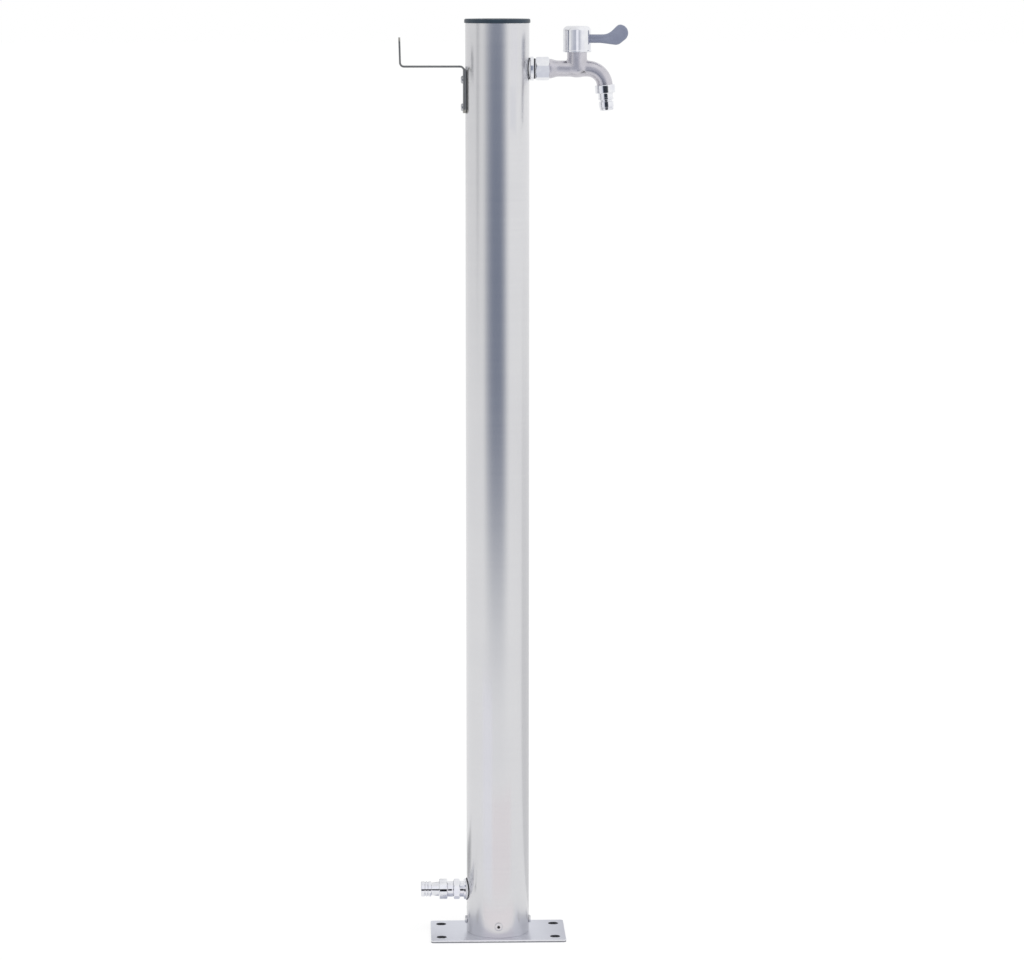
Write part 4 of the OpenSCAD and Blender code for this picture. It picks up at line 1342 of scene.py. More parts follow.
@dataclass
class Inlet:
    """The bulkhead at the foot and the plug that a hose coupling is pushed onto."""

    height: float = 47.5
    column_r: float = 32.5
    gasket_t: float = 0.9
    gasket_d: float = 23.0
    thread_r: float = 8.3
    thread_low: float = 13.7
    bore_r: float = 4.5
    flange_r: float = 10.75
    flange_t: float = 2.1
    neck_r: float = 8.5
    neck_l: float = 4.0
    hex_across: float = 19.0
    hex_l: float = 6.8
    plug_thread_r: float = 6.0
    waist_r: float = 8.2
    waist_l: float = 6.4
    collar_r: float = 10.6
    collar_l: float = 8.4
    cone_r: float = 7.6
    cone_end_r: float = 6.5
    cone_l: float = 8.4
    tip_r: float = 7.8
    tip_l: float = 10.8
    land: float = 2.0
    groove_w: float = 1.0
    groove_depth: float = 0.7
    edge_r: float = 0.9
    flange_edge_r: float = 0.35
    # The play of the plug's thread, and how far its end stays from the bottom of its hole
    thread_play: float = 0.1
    thread_short: float = 1.6
    # The play of the gasket's hole
    hole_play: float = 0.2

    def place(self) -> Matrix:
        """Gives the frame whose +Z runs out along the inlet."""
        return Axis.INLET.placed((0, 0, self.height))

    def bulkhead(self) -> bmesh.types.BMesh:
        """Builds the flange, neck and hexagon.

        Returns:
            The mesh in place.
        """
        flange = self.column_r + self.gasket_t
        neck = flange + self.flange_t
        start = neck + self.neck_l
        # Corners point up and down, so two flats face the front and the back
        block = Hexagon(start, start + self.hex_l, self.hex_across)
        collar = [
            (self.thread_r, flange), (self.flange_r, flange), (self.flange_r, neck),
            (self.neck_r, neck), (self.neck_r, start), (block.face_r, start),
        ]
        outline = [
            (self.bore_r, self.thread_low), (self.thread_r, self.thread_low),
            (self.thread_r, flange), *rounded(collar, self.flange_edge_r, 3)[1:-1],
            *block.outline(), (self.plug_thread_r, block.high), (self.plug_thread_r, start),
            (self.bore_r, start), (self.bore_r, self.thread_low),
        ]
        bm = turned(outline)
        block.press(bm)
        return carried(bm, self.place())

    def plug(self) -> bmesh.types.BMesh:
        """Builds the plug with its waist, collar, tapered neck and grooved tip.

        Returns:
            The mesh in place.
        """
        start = self.column_r + self.gasket_t + self.flange_t + self.neck_l + self.hex_l
        collar = start + self.waist_l
        cone = collar + self.collar_l
        tip = cone + self.cone_l
        end = tip + self.tip_l
        thread_low = start - self.hex_l + self.thread_short
        thread_r = self.plug_thread_r - self.thread_play
        groove_r = self.tip_r - self.groove_depth
        corners = [
            (self.bore_r, thread_low), (thread_r, thread_low), (thread_r, start),
            (self.waist_r, start), (self.waist_r, collar), (self.collar_r, collar),
            (self.collar_r, cone), (self.cone_r, cone), (self.cone_end_r, tip), (self.tip_r, tip),
        ]
        for i in (1, 2):
            low = tip + i * (self.land + self.groove_w)
            high = low + self.groove_w
            corners += [(self.tip_r, low), (groove_r, low), (groove_r, high), (self.tip_r, high)]
        corners += [(self.tip_r, end), (self.bore_r, end), (self.bore_r, thread_low)]
        return carried(turned(rounded(corners, self.edge_r, 4)), self.place())

    def build(self) -> None:
        """Builds the gasket, the bulkhead and the plug."""
        hole_r = self.thread_r + self.hole_play
        gasket = SaddleGasket(self.gasket_d / 2, hole_r, self.column_r, self.gasket_t)
        seal = Piece("inlet_seal_ring", Body.COLUMN, RUBBER, ("inlet_gasket",), (NYLON,))
        seal.make(carried(gasket.mesh(), self.place()))
        Piece("inlet_fitting", Body.COLUMN, CHROME, ("inlet_bulkhead",)).make(self.bulkhead())
        Piece("hose_plug", Body.COLUMN, CHROME, ("inlet_plug",)).make(self.plug())


@dataclass
class SaddleGasket:
    """A bonded washer: a thin rubber face that follows the tube, on a pale nylon ring."""

    outer_r: float
    inner_r: float
    column_r: float
    thickness: float
    edge_r: float = 0.35
    # The rubber's thickness at the rim
    rubber_t: float = 0.75

    def mesh(self) -> bmesh.types.BMesh:
        """Builds the washer about +Z, where the tube's axis runs along local X.

        Returns:
            The mesh, with the tube's axis through the origin.
        """
        top = self.column_r + self.thickness
        edge_r = min(self.edge_r, (self.thickness - self.rubber_t) / 2)
        seam = self.column_r + self.rubber_t
        outline = [
            (self.inner_r, self.column_r), (self.inner_r, top),
            *arc((self.outer_r - edge_r, top - edge_r), edge_r, 90, 0, 3),
            (self.outer_r, seam), (self.outer_r, self.column_r), (self.inner_r, self.column_r),
        ]
        bm = turned(outline)
        for face in bm.faces:
            if face.calc_center_median().z / MM > seam:
                face.material_index = 1
        for vert in bm.verts:
            if vert.co.z / MM < seam + TOUCH:
                height = math.sqrt(self.column_r**2 - (vert.co.y / MM) ** 2)
                vert.co.z -= (self.column_r - height) * MM
        return bm


@dataclass
class Outlet:
    """The stack between the tube and the tap: gasket, clamping ring, seal and coupling."""

    height: float = 899.5
    column_r: float = 32.5
    gasket_t: float = 0.9
    gasket_r: float = 10.75
    thread_r: float = 8.35
    ring_r: float = 12.2
    ring_t: float = 3.4
    seal_r: float = 10.3
    seal_t: float = 2.0
    seal_edge_r: float = 0.4
    # The rubber lip's share of the seal's thickness; the rest is its nylon ring
    lip_share: float = 0.75
    across: float = 21.4
    length: float = 14.0
    # How far the coupling's front corner stands above the level, as it was tightened
    roll: float = 15.0
    # The chamfer at both mouths of its bore
    mouth: float = 0.6
    ring_edge_r: float = 0.5
    # The play of the gasket's hole
    hole_play: float = 0.15

    def place(self) -> Matrix:
        """Gives the frame whose +Z runs out along the outlet."""
        return Axis.TAP.placed((0, 0, self.height))

    def ring(self, low: float, high: float) -> bmesh.types.BMesh:
        """Builds the clamping ring, with its edges rounded.

        Args:
            low: Where it starts along the outlet.
            high: Where it ends.

        Returns:
            The mesh in place.
        """
        half_way = (low + high) / 2
        corners = [
            (self.thread_r, half_way), (self.thread_r, low), (self.ring_r, low),
            (self.ring_r, high), (self.thread_r, high), (self.thread_r, half_way),
        ]
        return carried(turned(rounded(corners, self.ring_edge_r, 3)), self.place())

    def seal(self, low: float) -> bmesh.types.BMesh:
        """Builds the coupling's seal: a rubber lip on a pale nylon ring.

        Args:
            low: Where it starts along the outlet.

        Returns:
            The mesh in place, with the nylon's faces in the second slot.
        """
        high, seam = low + self.seal_t, low + self.seal_t * self.lip_share
        edge = (self.seal_r - self.seal_edge_r, high - self.seal_edge_r)
        bm = turned([
            (self.thread_r, low), (self.thread_r, high), *arc(edge, self.seal_edge_r, 90, 0, 3),
            (self.seal_r, seam), (self.seal_r, low), (self.thread_r, low),
        ])
        for face in bm.faces:
            if face.calc_center_median().z / MM > seam:
                face.material_index = 1
        return carried(bm, self.place())

    def coupling(self, low: float) -> bmesh.types.BMesh:
        """Builds the hexagon coupling, with a corner towards the front and a little up.

        Args:
            low: Where it starts along the outlet.

        Returns:
            The mesh in place.
        """
        block = Hexagon(low, low + self.length, self.across, math.radians(90 - self.roll))
        mouth_r = self.thread_r + self.mouth
        outline = [
            (self.thread_r, low + self.mouth), (mouth_r, low), *block.outline(),
            (mouth_r, block.high), (self.thread_r, block.high - self.mouth),
            (self.thread_r, low + self.mouth),
        ]
        bm = turned(outline)
        block.press(bm)
        return carried(bm, self.place())

    def build(self) -> None:
        """Builds the four rings of the stack."""
        hole_r = self.thread_r + self.hole_play
        gasket = SaddleGasket(self.gasket_r, hole_r, self.column_r, self.gasket_t)
        ring_low = self.column_r + self.gasket_t
        seal_low = ring_low + self.ring_t
        washer = Piece("outlet_seal_ring", Body.COLUMN, RUBBER, ("outlet_gasket",), (NYLON,))
        washer.make(carried(gasket.mesh(), self.place()))
        clamp = Piece("clamping_ring", Body.COLUMN, CHROME, ("outlet_ring",))
        clamp.make(self.ring(ring_low, seal_low))
        seal = Piece("coupling_seal", Body.COLUMN, RUBBER, ("outlet_seal",), (NYLON,))
        seal.make(self.seal(seal_low))
        coupling = Piece("hexagon_coupling", Body.COLUMN, CHROME, ("outlet_coupling",))
        coupling.make(self.coupling(seal_low + self.seal_t))


@dataclass
class AtTap:
    """Where the tap's upright axis crosses its barrel, which its pieces are measured from."""

    axis_x: float = 80.8
    axis_z: float = 899.5

    def place(self) -> Matrix:
        """Gives the frame of the upright axis at the barrel's height."""
        return Matrix.Translation(Vector((self.axis_x, 0, self.axis_z)) * MM)


@dataclass
class Tap(AtTap):
    """The cast body of the tap and the nozzle on its spout."""

    stem: float = 28.0
    tail_l: float = 6.5
    tail_r: float = 8.3
    shoulder_r: float = 10.0
    shoulder_l: float = 1.4
    cone_l: float = 6.5
    barrel_r: float = 8.1
    belly_r: float = 9.1
    # The belly's length and width as shares of its height, so that it flows into neck and barrel
    belly_shares: tuple[float, float, float] = (1.5, 1.11, 1.0)
    neck_r: float = 10.1
    neck_h: float = 18.5
    run: float = 10.5
    bend_r: float = 17.8
    turn: float = 85.3
    thread_r: float = 6.0
    thread_l: float = 6.5
    voxel: float = 0.42
    smooth_rounds: int = 34
    # What the three ends are longer by until they are cut square
    spare: float = 3.0
    # How far the rods overlap, and what the smoothing takes off their radius
    overlap: float = 0.5
    shrink: float = 0.1
    neck_shrink: float = 0.05
    # How far the tail and the spout's thread are rooted in the casting
    root: float = 1.0
    # The border that keeps a cut end's shading flat
    border: float = 0.35

    def along(self) -> Matrix:
        """Gives the frame whose +Z runs along the barrel, from the upright axis."""
        return self.place() @ Matrix.Rotation(math.pi / 2, 4, "Y")

    def exit_frame(self) -> Matrix:
        """Gives the frame whose +Z runs down out of the spout.

        Returns:
            The frame, from the end of the bend.
        """
        rest = math.radians(90 - self.turn)
        x = self.run + self.bend_r * math.cos(rest)
        z = self.bend_r * math.sin(rest) - self.bend_r
        spot = Matrix.Translation(Vector((x, 0, z)) * MM)
        return self.place() @ spot @ Matrix.Rotation(math.radians(90 + self.turn), 4, "Y")

    def rod(
        self, place: Matrix, low: float, high: float, r_low: float, r_high: float | None = None
    ) -> bmesh.types.BMesh:
        """Builds a closed rod or cone along a frame's +Z.

        Args:
            place: The frame.
            low: Where it starts.
            high: Where it ends.
            r_low: Its radius at the start.
            r_high: Its radius at the end, if that is another.

        Returns:
            The mesh in place.
        """
        bm = bmesh.new()
        middle = Matrix.Translation((0, 0, (low + high) / 2 * MM))
        bmesh.ops.create_cone(
            bm, cap_ends=True, segments=96, radius1=r_low * MM, radius2=(r_high or r_low) * MM,
            depth=(high - low) * MM, matrix=place @ middle,
        )
        return bm

    def bend(self) -> bmesh.types.BMesh:
        """Builds the bent part of the spout, spun from a circle and closed at both ends.

        Returns:
            The mesh in place.
        """
        bm = bmesh.new()
        turn_to_side = Matrix.Rotation(math.pi / 2, 4, "Y")
        bmesh.ops.create_circle(
            bm, cap_ends=True, segments=64, radius=self.barrel_r * MM,
            matrix=Matrix.Translation((self.run * MM, 0, 0)) @ turn_to_side,
        )
        centre = Vector((self.run, 0, -self.bend_r)) * MM
        made = bmesh.ops.spin(
            bm, geom=bm.faces[:] + bm.edges[:] + bm.verts[:], cent=centre, axis=(0, 1, 0),
            dvec=(0, 0, 0), angle=math.radians(self.turn), steps=40, use_merge=False,
            use_duplicate=False,
        )
        cap_edges = [e for e in made["geom_last"] if isinstance(e, bmesh.types.BMEdge)]
        if all(e.is_boundary for e in cap_edges):
            bmesh.ops.edgeloop_fill(bm, edges=cap_edges)
        return carried(bm, self.place())

    def solid(self) -> bmesh.types.BMesh:
        """Joins the casting's rods into one skin and smooths its meeting edges into fillets.

        Returns:
            The mesh in place, with its ends still too long.
        """
        belly = bmesh.new()
        bmesh.ops.create_uvsphere(
            belly, u_segments=64, v_segments=32, radius=self.belly_r * MM,
            matrix=self.place() @ Matrix.Diagonal((*self.belly_shares, 1.0)),
        )
        along, upright = self.along(), self.place()
        start, cone = -self.stem - self.spare, self.shoulder_l - self.stem
        barrel = cone + self.cone_l
        barrel_r, neck_r = self.barrel_r + self.shrink, self.neck_r + self.neck_shrink
        parts = [
            self.rod(along, start, cone, self.shoulder_r),
            self.rod(along, cone, barrel, self.shoulder_r, barrel_r),
            self.rod(along, barrel - self.overlap, self.run + self.overlap, barrel_r),
            belly,
            self.rod(upright, 0.0, self.neck_h + self.spare, neck_r),
            self.bend(),
            self.rod(self.exit_frame(), -self.overlap, self.spare, self.barrel_r),
        ]
        for part in parts:
            bmesh.ops.recalc_face_normals(part, faces=part.faces)
        bm = finished_mesh(joined(parts), "REMESH", mode="VOXEL", voxel_size=self.voxel * MM)
        relax(bm, self.smooth_rounds)
        return bm

    def trim(self, bm: bmesh.types.BMesh, place: Matrix) -> None:
        """Cuts away what lies beyond a frame's origin along its +Z, and closes the cut.

        Args:
            bm: The mesh to cut.
            place: The frame of the cut.
        """
        cut = bmesh.ops.bisect_plane(
            bm, geom=bm.faces[:] + bm.edges[:] + bm.verts[:], plane_co=place.translation,
            plane_no=place.to_3x3() @ Vector((0, 0, 1)), clear_outer=True,
        )
        rim = [e for e in cut["geom_cut"] if isinstance(e, bmesh.types.BMEdge)]
        filled = bmesh.ops.edgeloop_fill(bm, edges=rim)
        bmesh.ops.inset_region(bm, faces=filled["faces"], thickness=self.border * MM, depth=0.0)

    def casting(self) -> bmesh.types.BMesh:
        """Builds the casting: the smoothed skin, cut square at its ends, with tail and thread.

        Returns:
            The mesh in place.
        """
        bm = self.solid()
        back = Matrix.Translation((0, 0, -self.stem * MM)) @ Matrix.Rotation(math.pi, 4, "X")
        self.trim(bm, self.along() @ back)
        self.trim(bm, self.place() @ Matrix.Translation((0, 0, self.neck_h * MM)))
        self.trim(bm, self.exit_frame())
        tail_low = -self.stem - self.tail_l
        tail = self.rod(self.along(), tail_low, -self.stem + self.root, self.tail_r)
        thread = self.rod(self.exit_frame(), -self.root, self.thread_l, self.thread_r)
        return joined([bm, tail, thread])

    def build(self) -> None:
        """Builds the casting and the nozzle."""
        body = Piece("tap_casting", Body.COLUMN, CASTING, ("tap_body",))
        body.make(self.casting(), weighted=False)
        Nozzle(self.exit_frame()).build()


@dataclass
class Nozzle:
    """The stepped nozzle that a hose coupling is pushed onto."""

    place: Matrix
    thread_r: float = 6.05
    washer_low: float = 7.5
    collar_r: float = 10.2
    collar_l: float = 8.4
    neck_r: float = 7.4
    neck_l: float = 4.6
    lip_r: float = 7.8
    lip_l: float = 2.0
    groove_r: float = 6.3
    groove_l: float = 1.9
    tip_r: float = 7.4
    tip_l: float = 5.8
    gap: float = 0.8
    end_l: float = 2.3
    end_r: float = 6.5
    bore_r: float = 4.0
    edge_r: float = 0.9

    def build(self) -> None:
        """Builds the nozzle as one turned piece."""
        neck = self.collar_l
        lip = neck + self.neck_l
        groove = lip + self.lip_l
        tip = groove + self.groove_l
        gap = tip + self.tip_l
        end_low = gap + self.gap
        end = end_low + self.end_l
        corners = [
            (self.thread_r, self.washer_low / 2), (self.thread_r, 0.0), (self.collar_r, 0.0),
            (self.collar_r, neck), (self.neck_r, neck), (self.neck_r, lip), (self.lip_r, lip),
            (self.lip_r, groove), (self.groove_r, groove), (self.groove_r, tip),
            (self.tip_r, tip), (self.tip_r, gap), (self.groove_r, gap), (self.groove_r, end_low),
            (self.tip_r, end_low), (self.end_r, end), (self.bore_r, end),
            (self.bore_r, self.washer_low), (self.thread_r, self.washer_low),
            (self.thread_r, self.washer_low / 2),
        ]
        mesh = carried(turned(rounded(corners, self.edge_r, 4)), self.place)
        Piece("stepped_nozzle", Body.COLUMN, CHROME, ("spout_nozzle",)).make(mesh)


@dataclass
class Handle(AtTap):
    """The chromed dome, its plug and the lever with its thumb paddle."""

    rim_h: float = 16.5
    dome_h: float = 26.4
    dome_r: float = 14.2
    wall: float = 2.0
    edge_r: float = 5.0
    lip_out: float = 0.3
    lip_h: float = 2.0
    roof_t: float = 4.0
    plug_r: float = 4.25
    plug_gap: float = 0.05
    plug_t: float = 1.2
    # The broken edge at the plug and at its seat's mouth
    plug_edge_r: float = 0.3
    # The ledge that the plug stands on, and its height above the dome's ceiling
    ledge_w: float = 0.4
    ledge_h: float = 0.5
    # The chamfer between the dome's inner wall and its ceiling
    ceiling_edge: float = 1.0
    lip_edge_r: float = 0.5
    stem_low: float = 25.8
    stem_h: float = 8.6
    stem_t: float = 6.0
    root_x: float = 6.3
    rise_x: float = 23.7
    tip_x: float = 43.3
    tip_h: float = 35.8
    paddle_r: float = 8.5
    heel_x: float = 39.0
    heel_h: float = 32.3
    rise: float = 9.9
    rise_power: float = 1.7
    tip_arc: float = 145.0
    # The rounding of its side edges
    rim_r: float = 1.5
    groove_depth: float = 0.7
    groove_half: float = 1.3
    # How much wider the groove ends, and how much of the lever's rise it follows
    groove_spread: float = 1.6
    groove_rise: float = 0.32
    # Over what length it begins
    groove_fade: float = 2.0
    steps: int = 24
    heel_steps: int = 8
    voxel: float = 0.3
    smooth_rounds: int = 16

    def dome(self) -> bmesh.types.BMesh:
        """Builds the dome: a round cup, rim down, with a turned lip and a seat for the plug.

        Returns:
            The mesh in place.
        """
        rim, top = self.rim_h, self.rim_h + self.dome_h
        lip, inner = self.dome_r + self.lip_out, self.dome_r - self.wall
        seat = self.plug_r + self.plug_gap
        roof = top - self.roof_t
        lip_corners = [
            (inner, rim), (lip, rim), (lip, rim + self.lip_h - self.lip_out),
            (self.dome_r, rim + self.lip_h), (self.dome_r, rim + 2 * self.lip_h),
        ]
        outline = [
            (seat, roof + self.ledge_h), (seat - self.ledge_w, roof),
            (inner - self.ceiling_edge, roof), (inner, roof - self.ceiling_edge),
            *rounded(lip_corners, self.lip_edge_r, 3),
            *arc((self.dome_r - self.edge_r, top - self.edge_r), self.edge_r, 0, 90, 12),
            (seat + self.plug_edge_r, top), (seat + 0.1, top - 0.08),
            (seat, top - self.plug_edge_r), (seat, roof + self.ledge_h),
        ]
        return carried(turned(outline, 128), self.place())

    def plug(self) -> bmesh.types.BMesh:
        """Builds the small plug over the handle's screw, with a broken edge.

        Returns:
            The mesh in place.
        """
        top = self.rim_h + self.dome_h
        low = top - self.plug_t
        corners = [(0.0, low), (self.plug_r, low), (self.plug_r, top), (0.0, top)]
        return carried(turned(rounded(corners, self.plug_edge_r, 3), 64), self.place())

    def top_line(self, share: float) -> Point:
        """Gives a point of the lever's upper edge, from its rise to its paddle.

        Args:
            share: How far along that edge it lies, from zero to one.

        Returns:
            The point in X and Z.
        """
        eased = share**self.rise_power
        eased = eased * eased * (3 - 2 * eased)
        x = self.rise_x + share * (self.tip_x - self.rise_x)
        return (x, self.stem_low + self.stem_h + self.rise * eased)

    def lever(self) -> bmesh.types.BMesh:
        """Builds the lever: its side outline, thickened, rounded and grooved.

        Returns:
            The mesh in place.
        """
        # The angle where the paddle's tip goes over into its heel
        turn = 90 - self.tip_arc
        outline = [(self.root_x, self.stem_low), (self.root_x, self.stem_low + self.stem_h)]
        outline += [self.top_line(i / self.steps) for i in range(self.steps + 1)]
        outline += arc((self.tip_x, self.tip_h), self.paddle_r, 90, turn, self.steps)[1:]
        outline += arc((self.heel_x, self.heel_h), self.paddle_r, turn, -90, self.heel_steps)
        outline += [(self.rise_x, self.stem_low)]
        bm = bmesh.new()
        half = self.stem_t / 2
        ring = [bm.verts.new((x, -half, z)) for x, z in outline]
        loop = [bm.edges.new((a, b)) for a, b in zip(ring, ring[1:] + ring[:1])]
        bmesh.ops.edgeloop_fill(bm, edges=loop)
        grown = bmesh.ops.extrude_face_region(bm, geom=bm.faces[:])
        far = [v for v in grown["geom"] if isinstance(v, bmesh.types.BMVert)]
        bmesh.ops.translate(bm, verts=far, vec=(0, self.stem_t, 0))
        bmesh.ops.recalc_face_normals(bm, faces=bm.faces)
        rims = [e for e in bm.edges if abs(e.verts[0].co.y - e.verts[1].co.y) < TOUCH]
        break_edges(bm, rims, self.rim_r, segments=4, clamped=True)
        bmesh.ops.triangulate(bm, faces=bm.faces)
        bm = finished_mesh(bm, "REMESH", mode="VOXEL", voxel_size=self.voxel)
        relax(bm, self.smooth_rounds)
        self.groove(bm)
        bmesh.ops.scale(bm, vec=(MM, MM, MM), verts=bm.verts)
        return carried(bm, self.place())

    def groove(self, bm: bmesh.types.BMesh) -> None:
        """Presses a groove along both sides of the stem, which widens and fades into the paddle.

        Args:
            bm: The lever's mesh in millimetres.
        """
        # From beside the dome to the middle of the paddle
        start, end = self.dome_r + 1.0, self.tip_x - 4.0
        first = start - self.groove_fade
        for vert in bm.verts:
            if not first < vert.co.x < end:
                continue
            share = max((vert.co.x - start) / (end - start), 0.0)
            middle = self.stem_low + self.stem_h / 2 + self.groove_rise * self.rise * share**2
            half = self.groove_half * (1 + self.groove_spread * share)
            off = abs(vert.co.z - middle) / half
            if off >= 1:
                continue
            fade = (1 - share**2) * min(1.0, (vert.co.x - first) / self.groove_fade)
            press = self.groove_depth * fade * (1 - off**2) ** 2
            vert.co.y -= math.copysign(min(press, abs(vert.co.y)), vert.co.y)

    def build(self) -> None:
        """Builds the dome, the plug and the lever on the handle's body."""
        Piece("dome", Body.HANDLE, CHROME, ("handle_dome",)).make(self.dome())
        Piece("dome_plug", Body.HANDLE, CHROME, ("handle_cap",)).make(self.plug())
        Piece("thumb_lever", Body.HANDLE, LEVER, ("lever",)).make(self.lever(), weighted=False)


@dataclass
class InnerWorks:
    """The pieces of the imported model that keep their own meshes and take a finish."""

    finishes: tuple[Finish, ...] = (
        TUBE, SHEET, STRIP, SCREW, CHROME, CASTING, CAP, LEVER, RUBBER, BRASS, BRAID, CERAMIC,
    )
    # Nodes whose finish isn't that of their slot
    own: dict[str, Finish] = field(default_factory=lambda: {"hook_rivet_nuts": ZINC})

    def dress(self) -> None:
        """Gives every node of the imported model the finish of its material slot."""
        slots = {row["node"]: Slot(row["material_slot"]) for row in frame["record"]["subparts"]}
        finishes = {finish.slot: finish for finish in self.finishes}
        for name, node in frame["nodes"].items():
            finish = self.own.get(name, finishes[slots[name]])
            node.data.materials.clear()
            node.data.materials.append(finish.material())
            LOG.info("%s keeps its solid and takes %s", name, finish.slot.value)


@dataclass
class Card:
    """A tinted card across Y that only reflections see, and that fades in from its edges.

    Each pair gives the place where the card begins and the place where it is full, in metres.
    """

    name: str
    y: float
    left: tuple[float, float]
    right: tuple[float, float]
    foot: tuple[float, float]
    top: tuple[float, float]
    colour: str
    cover: float = 1.0

    def material(self) -> bpy.types.Material:
        """Builds the card's material: its colour where it is full, and clear at its edges.

        Returns:
            The material.
        """
        material = bpy.data.materials.new(self.name)
        material.use_nodes = True
        tree = material.node_tree
        tree.nodes.clear()
        place = add_node(tree, "TexCoord").outputs["Object"]
        parts = add_node(tree, "SeparateXYZ", {"Vector": place}).outputs
        cover = self.cover
        edges = (("X", self.left), ("X", self.right), ("Z", self.foot), ("Z", self.top))
        for across, (begin, full) in edges:
            step = add_node(
                tree, "MapRange", {"Value": parts[across], "From Min": begin, "From Max": full},
                interpolation_type="SMOOTHSTEP",
            ).outputs["Result"]
            cover = add_node(tree, "Math", {0: cover, 1: step}, operation="MULTIPLY").outputs[0]
        clear = add_node(tree, "BsdfTransparent")
        glow = add_node(tree, "Emission", {"Color": srgb(self.colour), "Strength": 1.0})
        mixed = add_node(
            tree, "MixShader", {0: cover, 1: clear.outputs["BSDF"], 2: glow.outputs["Emission"]}
        )
        add_node(tree, "OutputMaterial", {"Surface": mixed.outputs["Shader"]})
        return material

    def build(self) -> None:
        """Stands the card in the studio."""
        bm = bmesh.new()
        width, height = self.right[0] - self.left[0], self.top[0] - self.foot[0]
        middle = ((self.right[0] + self.left[0]) / 2, self.y, (self.top[0] + self.foot[0]) / 2)
        size = Matrix.Diagonal((width, height, 1.0, 1.0))
        place = Matrix.Translation(middle) @ Matrix.Rotation(math.pi / 2, 4, "X") @ size
        bmesh.ops.create_grid(bm, x_segments=1, y_segments=1, size=0.5, matrix=place)
        obj = placed_object(bm, self.name)
        obj.data.materials.append(self.material())
        for kind in ("camera", "diffuse", "shadow", "transmission", "volume_scatter"):
            setattr(obj, "visible_" + kind, False)


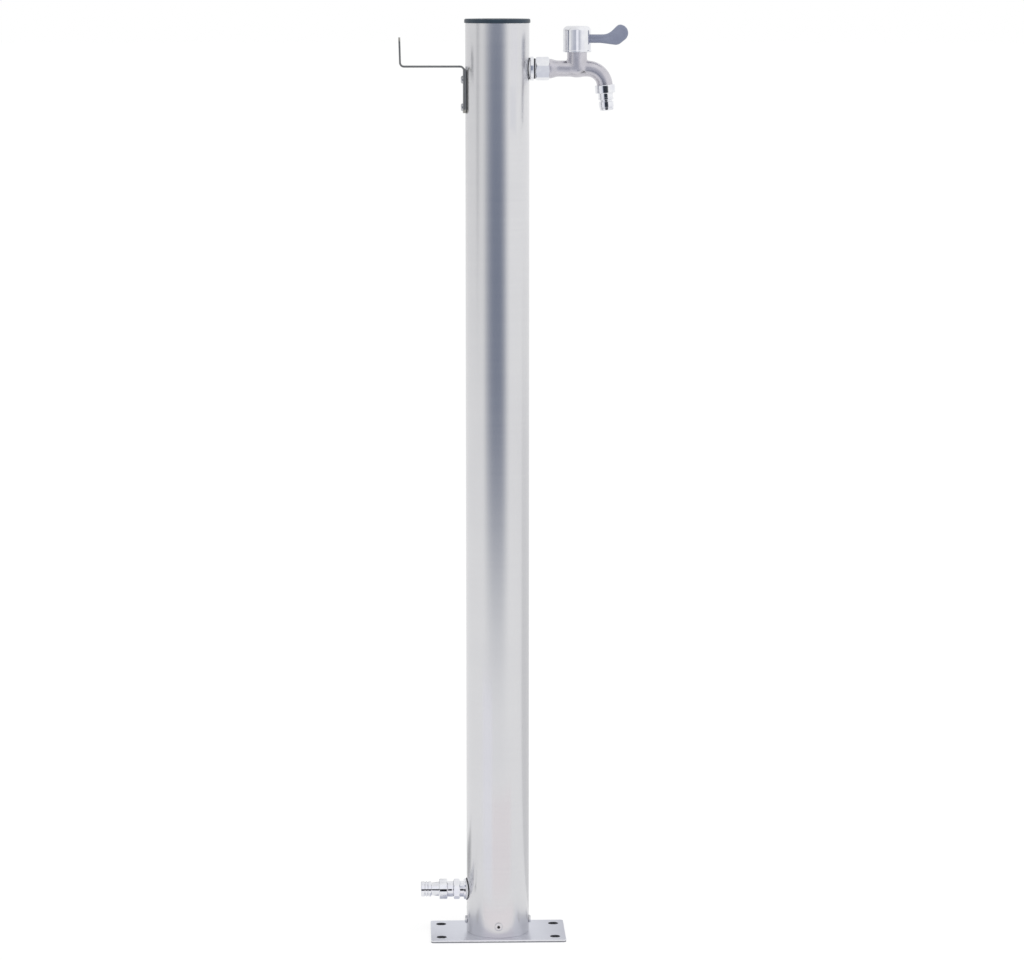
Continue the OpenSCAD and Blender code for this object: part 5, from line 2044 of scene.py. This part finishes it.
@dataclass
class Studio:
    """The floor, the light and the camera."""

    lens_mm: float = 124.73
    sensor_mm: float = 36.0
    camera_mm: tuple[float, float, float] = (-97.63, -3615.28, 980.98)
    camera_pitch: float = 7.9047
    camera_turn: float = 1.7828
    floor_r: float = 60.0
    floor_tint: str = "#ffffff"
    # How much of the floor glows for the camera and for reflections, and how bright it is for each
    floor_glow: float = 0.7
    glow_reflected: float = 0.93
    glow_seen: float = 1.05
    sky_right: float = 1.0
    sky_left: float = 0.86
    # Half the width of the change from left to right
    sky_soft: float = 0.35
    lamp_size: Point = (1.6, 1.2)
    lamp_power: float = 10.0
    lamp_spot: tuple[float, float, float] = (0.8, -1.0, 2.6)
    lamp_aim: tuple[float, float, float] = (0.0, 0.0, 0.6)
    cards: tuple[Card, ...] = (
        # The dark middle of the column
        Card(
            "front_card", -0.9, (-1.4, -0.18), (0.85, 0.1), (-0.12, 0.5), (1.6, 1.25), "#838b9d"
        ),
        # Its darker right edge, low down
        Card(
            "edge_card", 0.08, (0.03, 0.08), (0.9, 0.5), (-0.05, 0.0), (0.85, 0.1), "#8f9096", 0.3
        ),
        # Its greyer left side beside the hook
        Card(
            "left_card", -0.3, (-3.0, -2.0), (-0.7, -1.0), (0.78, 0.9), (3.0, 2.6), "#8a8c92", 0.4
        ),
        # White cards that keep the dark middle off the foot and the inlet
        Card(
            "foot_card", -0.1, (-0.04, -0.03), (0.1, 0.09), (0.0, 0.004), (0.13, 0.11), "#faf5f6"
        ),
        Card(
            "sill_card", -0.0445, (-0.05, -0.036), (0.05, 0.036), (0.0035, 0.0038), (0.03, 0.02),
            "#faf5f6",
        ),
        Card(
            "inlet_card", -0.1, (-0.14, -0.13), (-0.03, -0.04), (0.0, 0.004), (0.26, 0.22),
            "#fafaff",
        ),
        # A grey card behind the inlet that draws the upper rims of its plug and hexagon
        Card(
            "rim_card", 0.05, (-0.13, -0.12), (-0.046, -0.062), (0.03, 0.034), (0.09, 0.068),
            "#55575e", 0.5,
        ),
        # Thin dark cards that leave one fine line along the plug and the neck, not the hexagon
        Card(
            "plug_line", -0.02, (-0.13, -0.125), (-0.047, -0.048), (0.0445, 0.0455),
            (0.0525, 0.0515), "#16191e",
        ),
        Card(
            "neck_line", -0.02, (-0.0395, -0.039), (-0.0325, -0.0335), (0.0445, 0.0455),
            (0.0525, 0.0515), "#16191e",
        ),
        # Pale cards that soften the tap and its coupling, and a white strip down the dome
        Card(
            "tap_card", -0.05, (0.034, 0.04), (0.15, 0.14), (0.882, 0.887), (0.97, 0.96),
            "#fafaff", 0.38,
        ),
        Card(
            "coupling_card", -0.049, (0.03, 0.034), (0.085, 0.08), (0.84, 0.85), (0.89, 0.885),
            "#f0f1f6", 0.75,
        ),
        Card(
            "dome_strip", -0.048, (0.072, 0.0745), (0.0885, 0.086), (0.914, 0.916), (0.96, 0.95),
            "#fafaff",
        ),
        # The dark patches down the nozzle
        Card(
            "nozzle_card", -0.025, (0.0985, 0.102), (0.124, 0.118), (0.832, 0.835),
            (0.885, 0.882), "#1c2127", 0.92,
        ),
    )

    def camera(self) -> None:
        """Places the camera where the photograph was taken from."""
        data = bpy.data.cameras.new("camera")
        data.lens = self.lens_mm
        data.sensor_width = self.sensor_mm
        data.clip_end = 400.0
        obj = bpy.data.objects.new("camera", data)
        obj.location = Vector(self.camera_mm) * MM
        pitch, turn = math.radians(90 - self.camera_pitch), math.radians(-self.camera_turn)
        obj.rotation_euler = (pitch, 0.0, turn)
        bpy.context.scene.collection.objects.link(obj)
        bpy.context.scene.camera = obj

    def world(self) -> None:
        """Lights the scene with an even white sky, a little dimmer on the left."""
        world = bpy.data.worlds.new("sky")
        world.use_nodes = True
        tree = world.node_tree
        tree.nodes.clear()
        way = add_node(tree, "TexCoord").outputs["Generated"]
        side = add_node(tree, "SeparateXYZ", {"Vector": way}).outputs["X"]
        level = add_node(
            tree, "MapRange",
            {"Value": side, "From Min": -self.sky_soft, "From Max": self.sky_soft,
             "To Min": self.sky_left, "To Max": self.sky_right},
            interpolation_type="SMOOTHSTEP",
        ).outputs["Result"]
        seen = add_node(tree, "LightPath").outputs["Is Camera Ray"]
        strength = add_node(tree, "Math", {0: level, 1: seen}, operation="MAXIMUM").outputs[0]
        sky = add_node(tree, "Background", {"Color": (1, 1, 1, 1), "Strength": strength})
        add_node(tree, "OutputWorld", {"Surface": sky.outputs["Background"]})
        bpy.context.scene.world = world

    def floor(self) -> None:
        """Lays a pale floor that is white to the camera and keeps a soft shadow."""
        bm = bmesh.new()
        bmesh.ops.create_circle(bm, cap_ends=True, segments=96, radius=self.floor_r)
        obj = placed_object(bm, "floor")
        material = bpy.data.materials.new("pale_floor")
        material.use_nodes = True
        tree = material.node_tree
        tree.nodes.clear()
        paths = add_node(tree, "LightPath").outputs
        seen, glossy = paths["Is Camera Ray"], paths["Is Glossy Ray"]
        either = add_node(tree, "Math", {0: seen, 1: glossy}, operation="MAXIMUM").outputs[0]
        share = add_node(
            tree, "Math", {0: either, 1: self.floor_glow}, operation="MULTIPLY"
        ).outputs[0]
        extra = self.glow_seen - self.glow_reflected
        bright = add_node(
            tree, "Math", {0: seen, 1: extra, 2: self.glow_reflected}, operation="MULTIPLY_ADD"
        ).outputs[0]
        matt = add_node(tree, "BsdfDiffuse", {"Color": srgb(self.floor_tint)})
        glow = add_node(tree, "Emission", {"Color": (1, 1, 1, 1), "Strength": bright})
        mixed = add_node(
            tree, "MixShader", {0: share, 1: matt.outputs["BSDF"], 2: glow.outputs["Emission"]}
        )
        add_node(tree, "OutputMaterial", {"Surface": mixed.outputs["Shader"]})
        obj.data.materials.append(material)

    def lamp(self) -> None:
        """Hangs one large soft lamp above and to the right, for a little shape."""
        data = bpy.data.lights.new("softbox", "AREA")
        data.shape = "RECTANGLE"
        data.size, data.size_y = self.lamp_size
        data.energy = self.lamp_power
        obj = bpy.data.objects.new("softbox", data)
        obj.location = self.lamp_spot
        obj.visible_glossy = False
        aim = Vector(self.lamp_aim) - obj.location
        obj.rotation_euler = aim.to_track_quat("-Z", "Y").to_euler()
        bpy.context.scene.collection.objects.link(obj)

    def build(self) -> None:
        """Sets the view, the camera, the light and the floor."""
        bpy.context.scene.view_settings.view_transform = "Standard"
        self.camera()
        self.world()
        self.floor()
        for card in self.cards:
            card.build()
        self.lamp()


def main() -> None:
    """Builds the studio and every sub-assembly in order."""
    logging.basicConfig(level=logging.INFO, format="%(name)s: %(message)s")
    Studio().build()
    InnerWorks().dress()
    for part in (Foot(), Column(), Hook(), Inlet(), Outlet(), Tap(), Handle()):
        LOG.info("building %s", type(part).__name__)
        part.build()


if __name__ == "__main__":
    main()
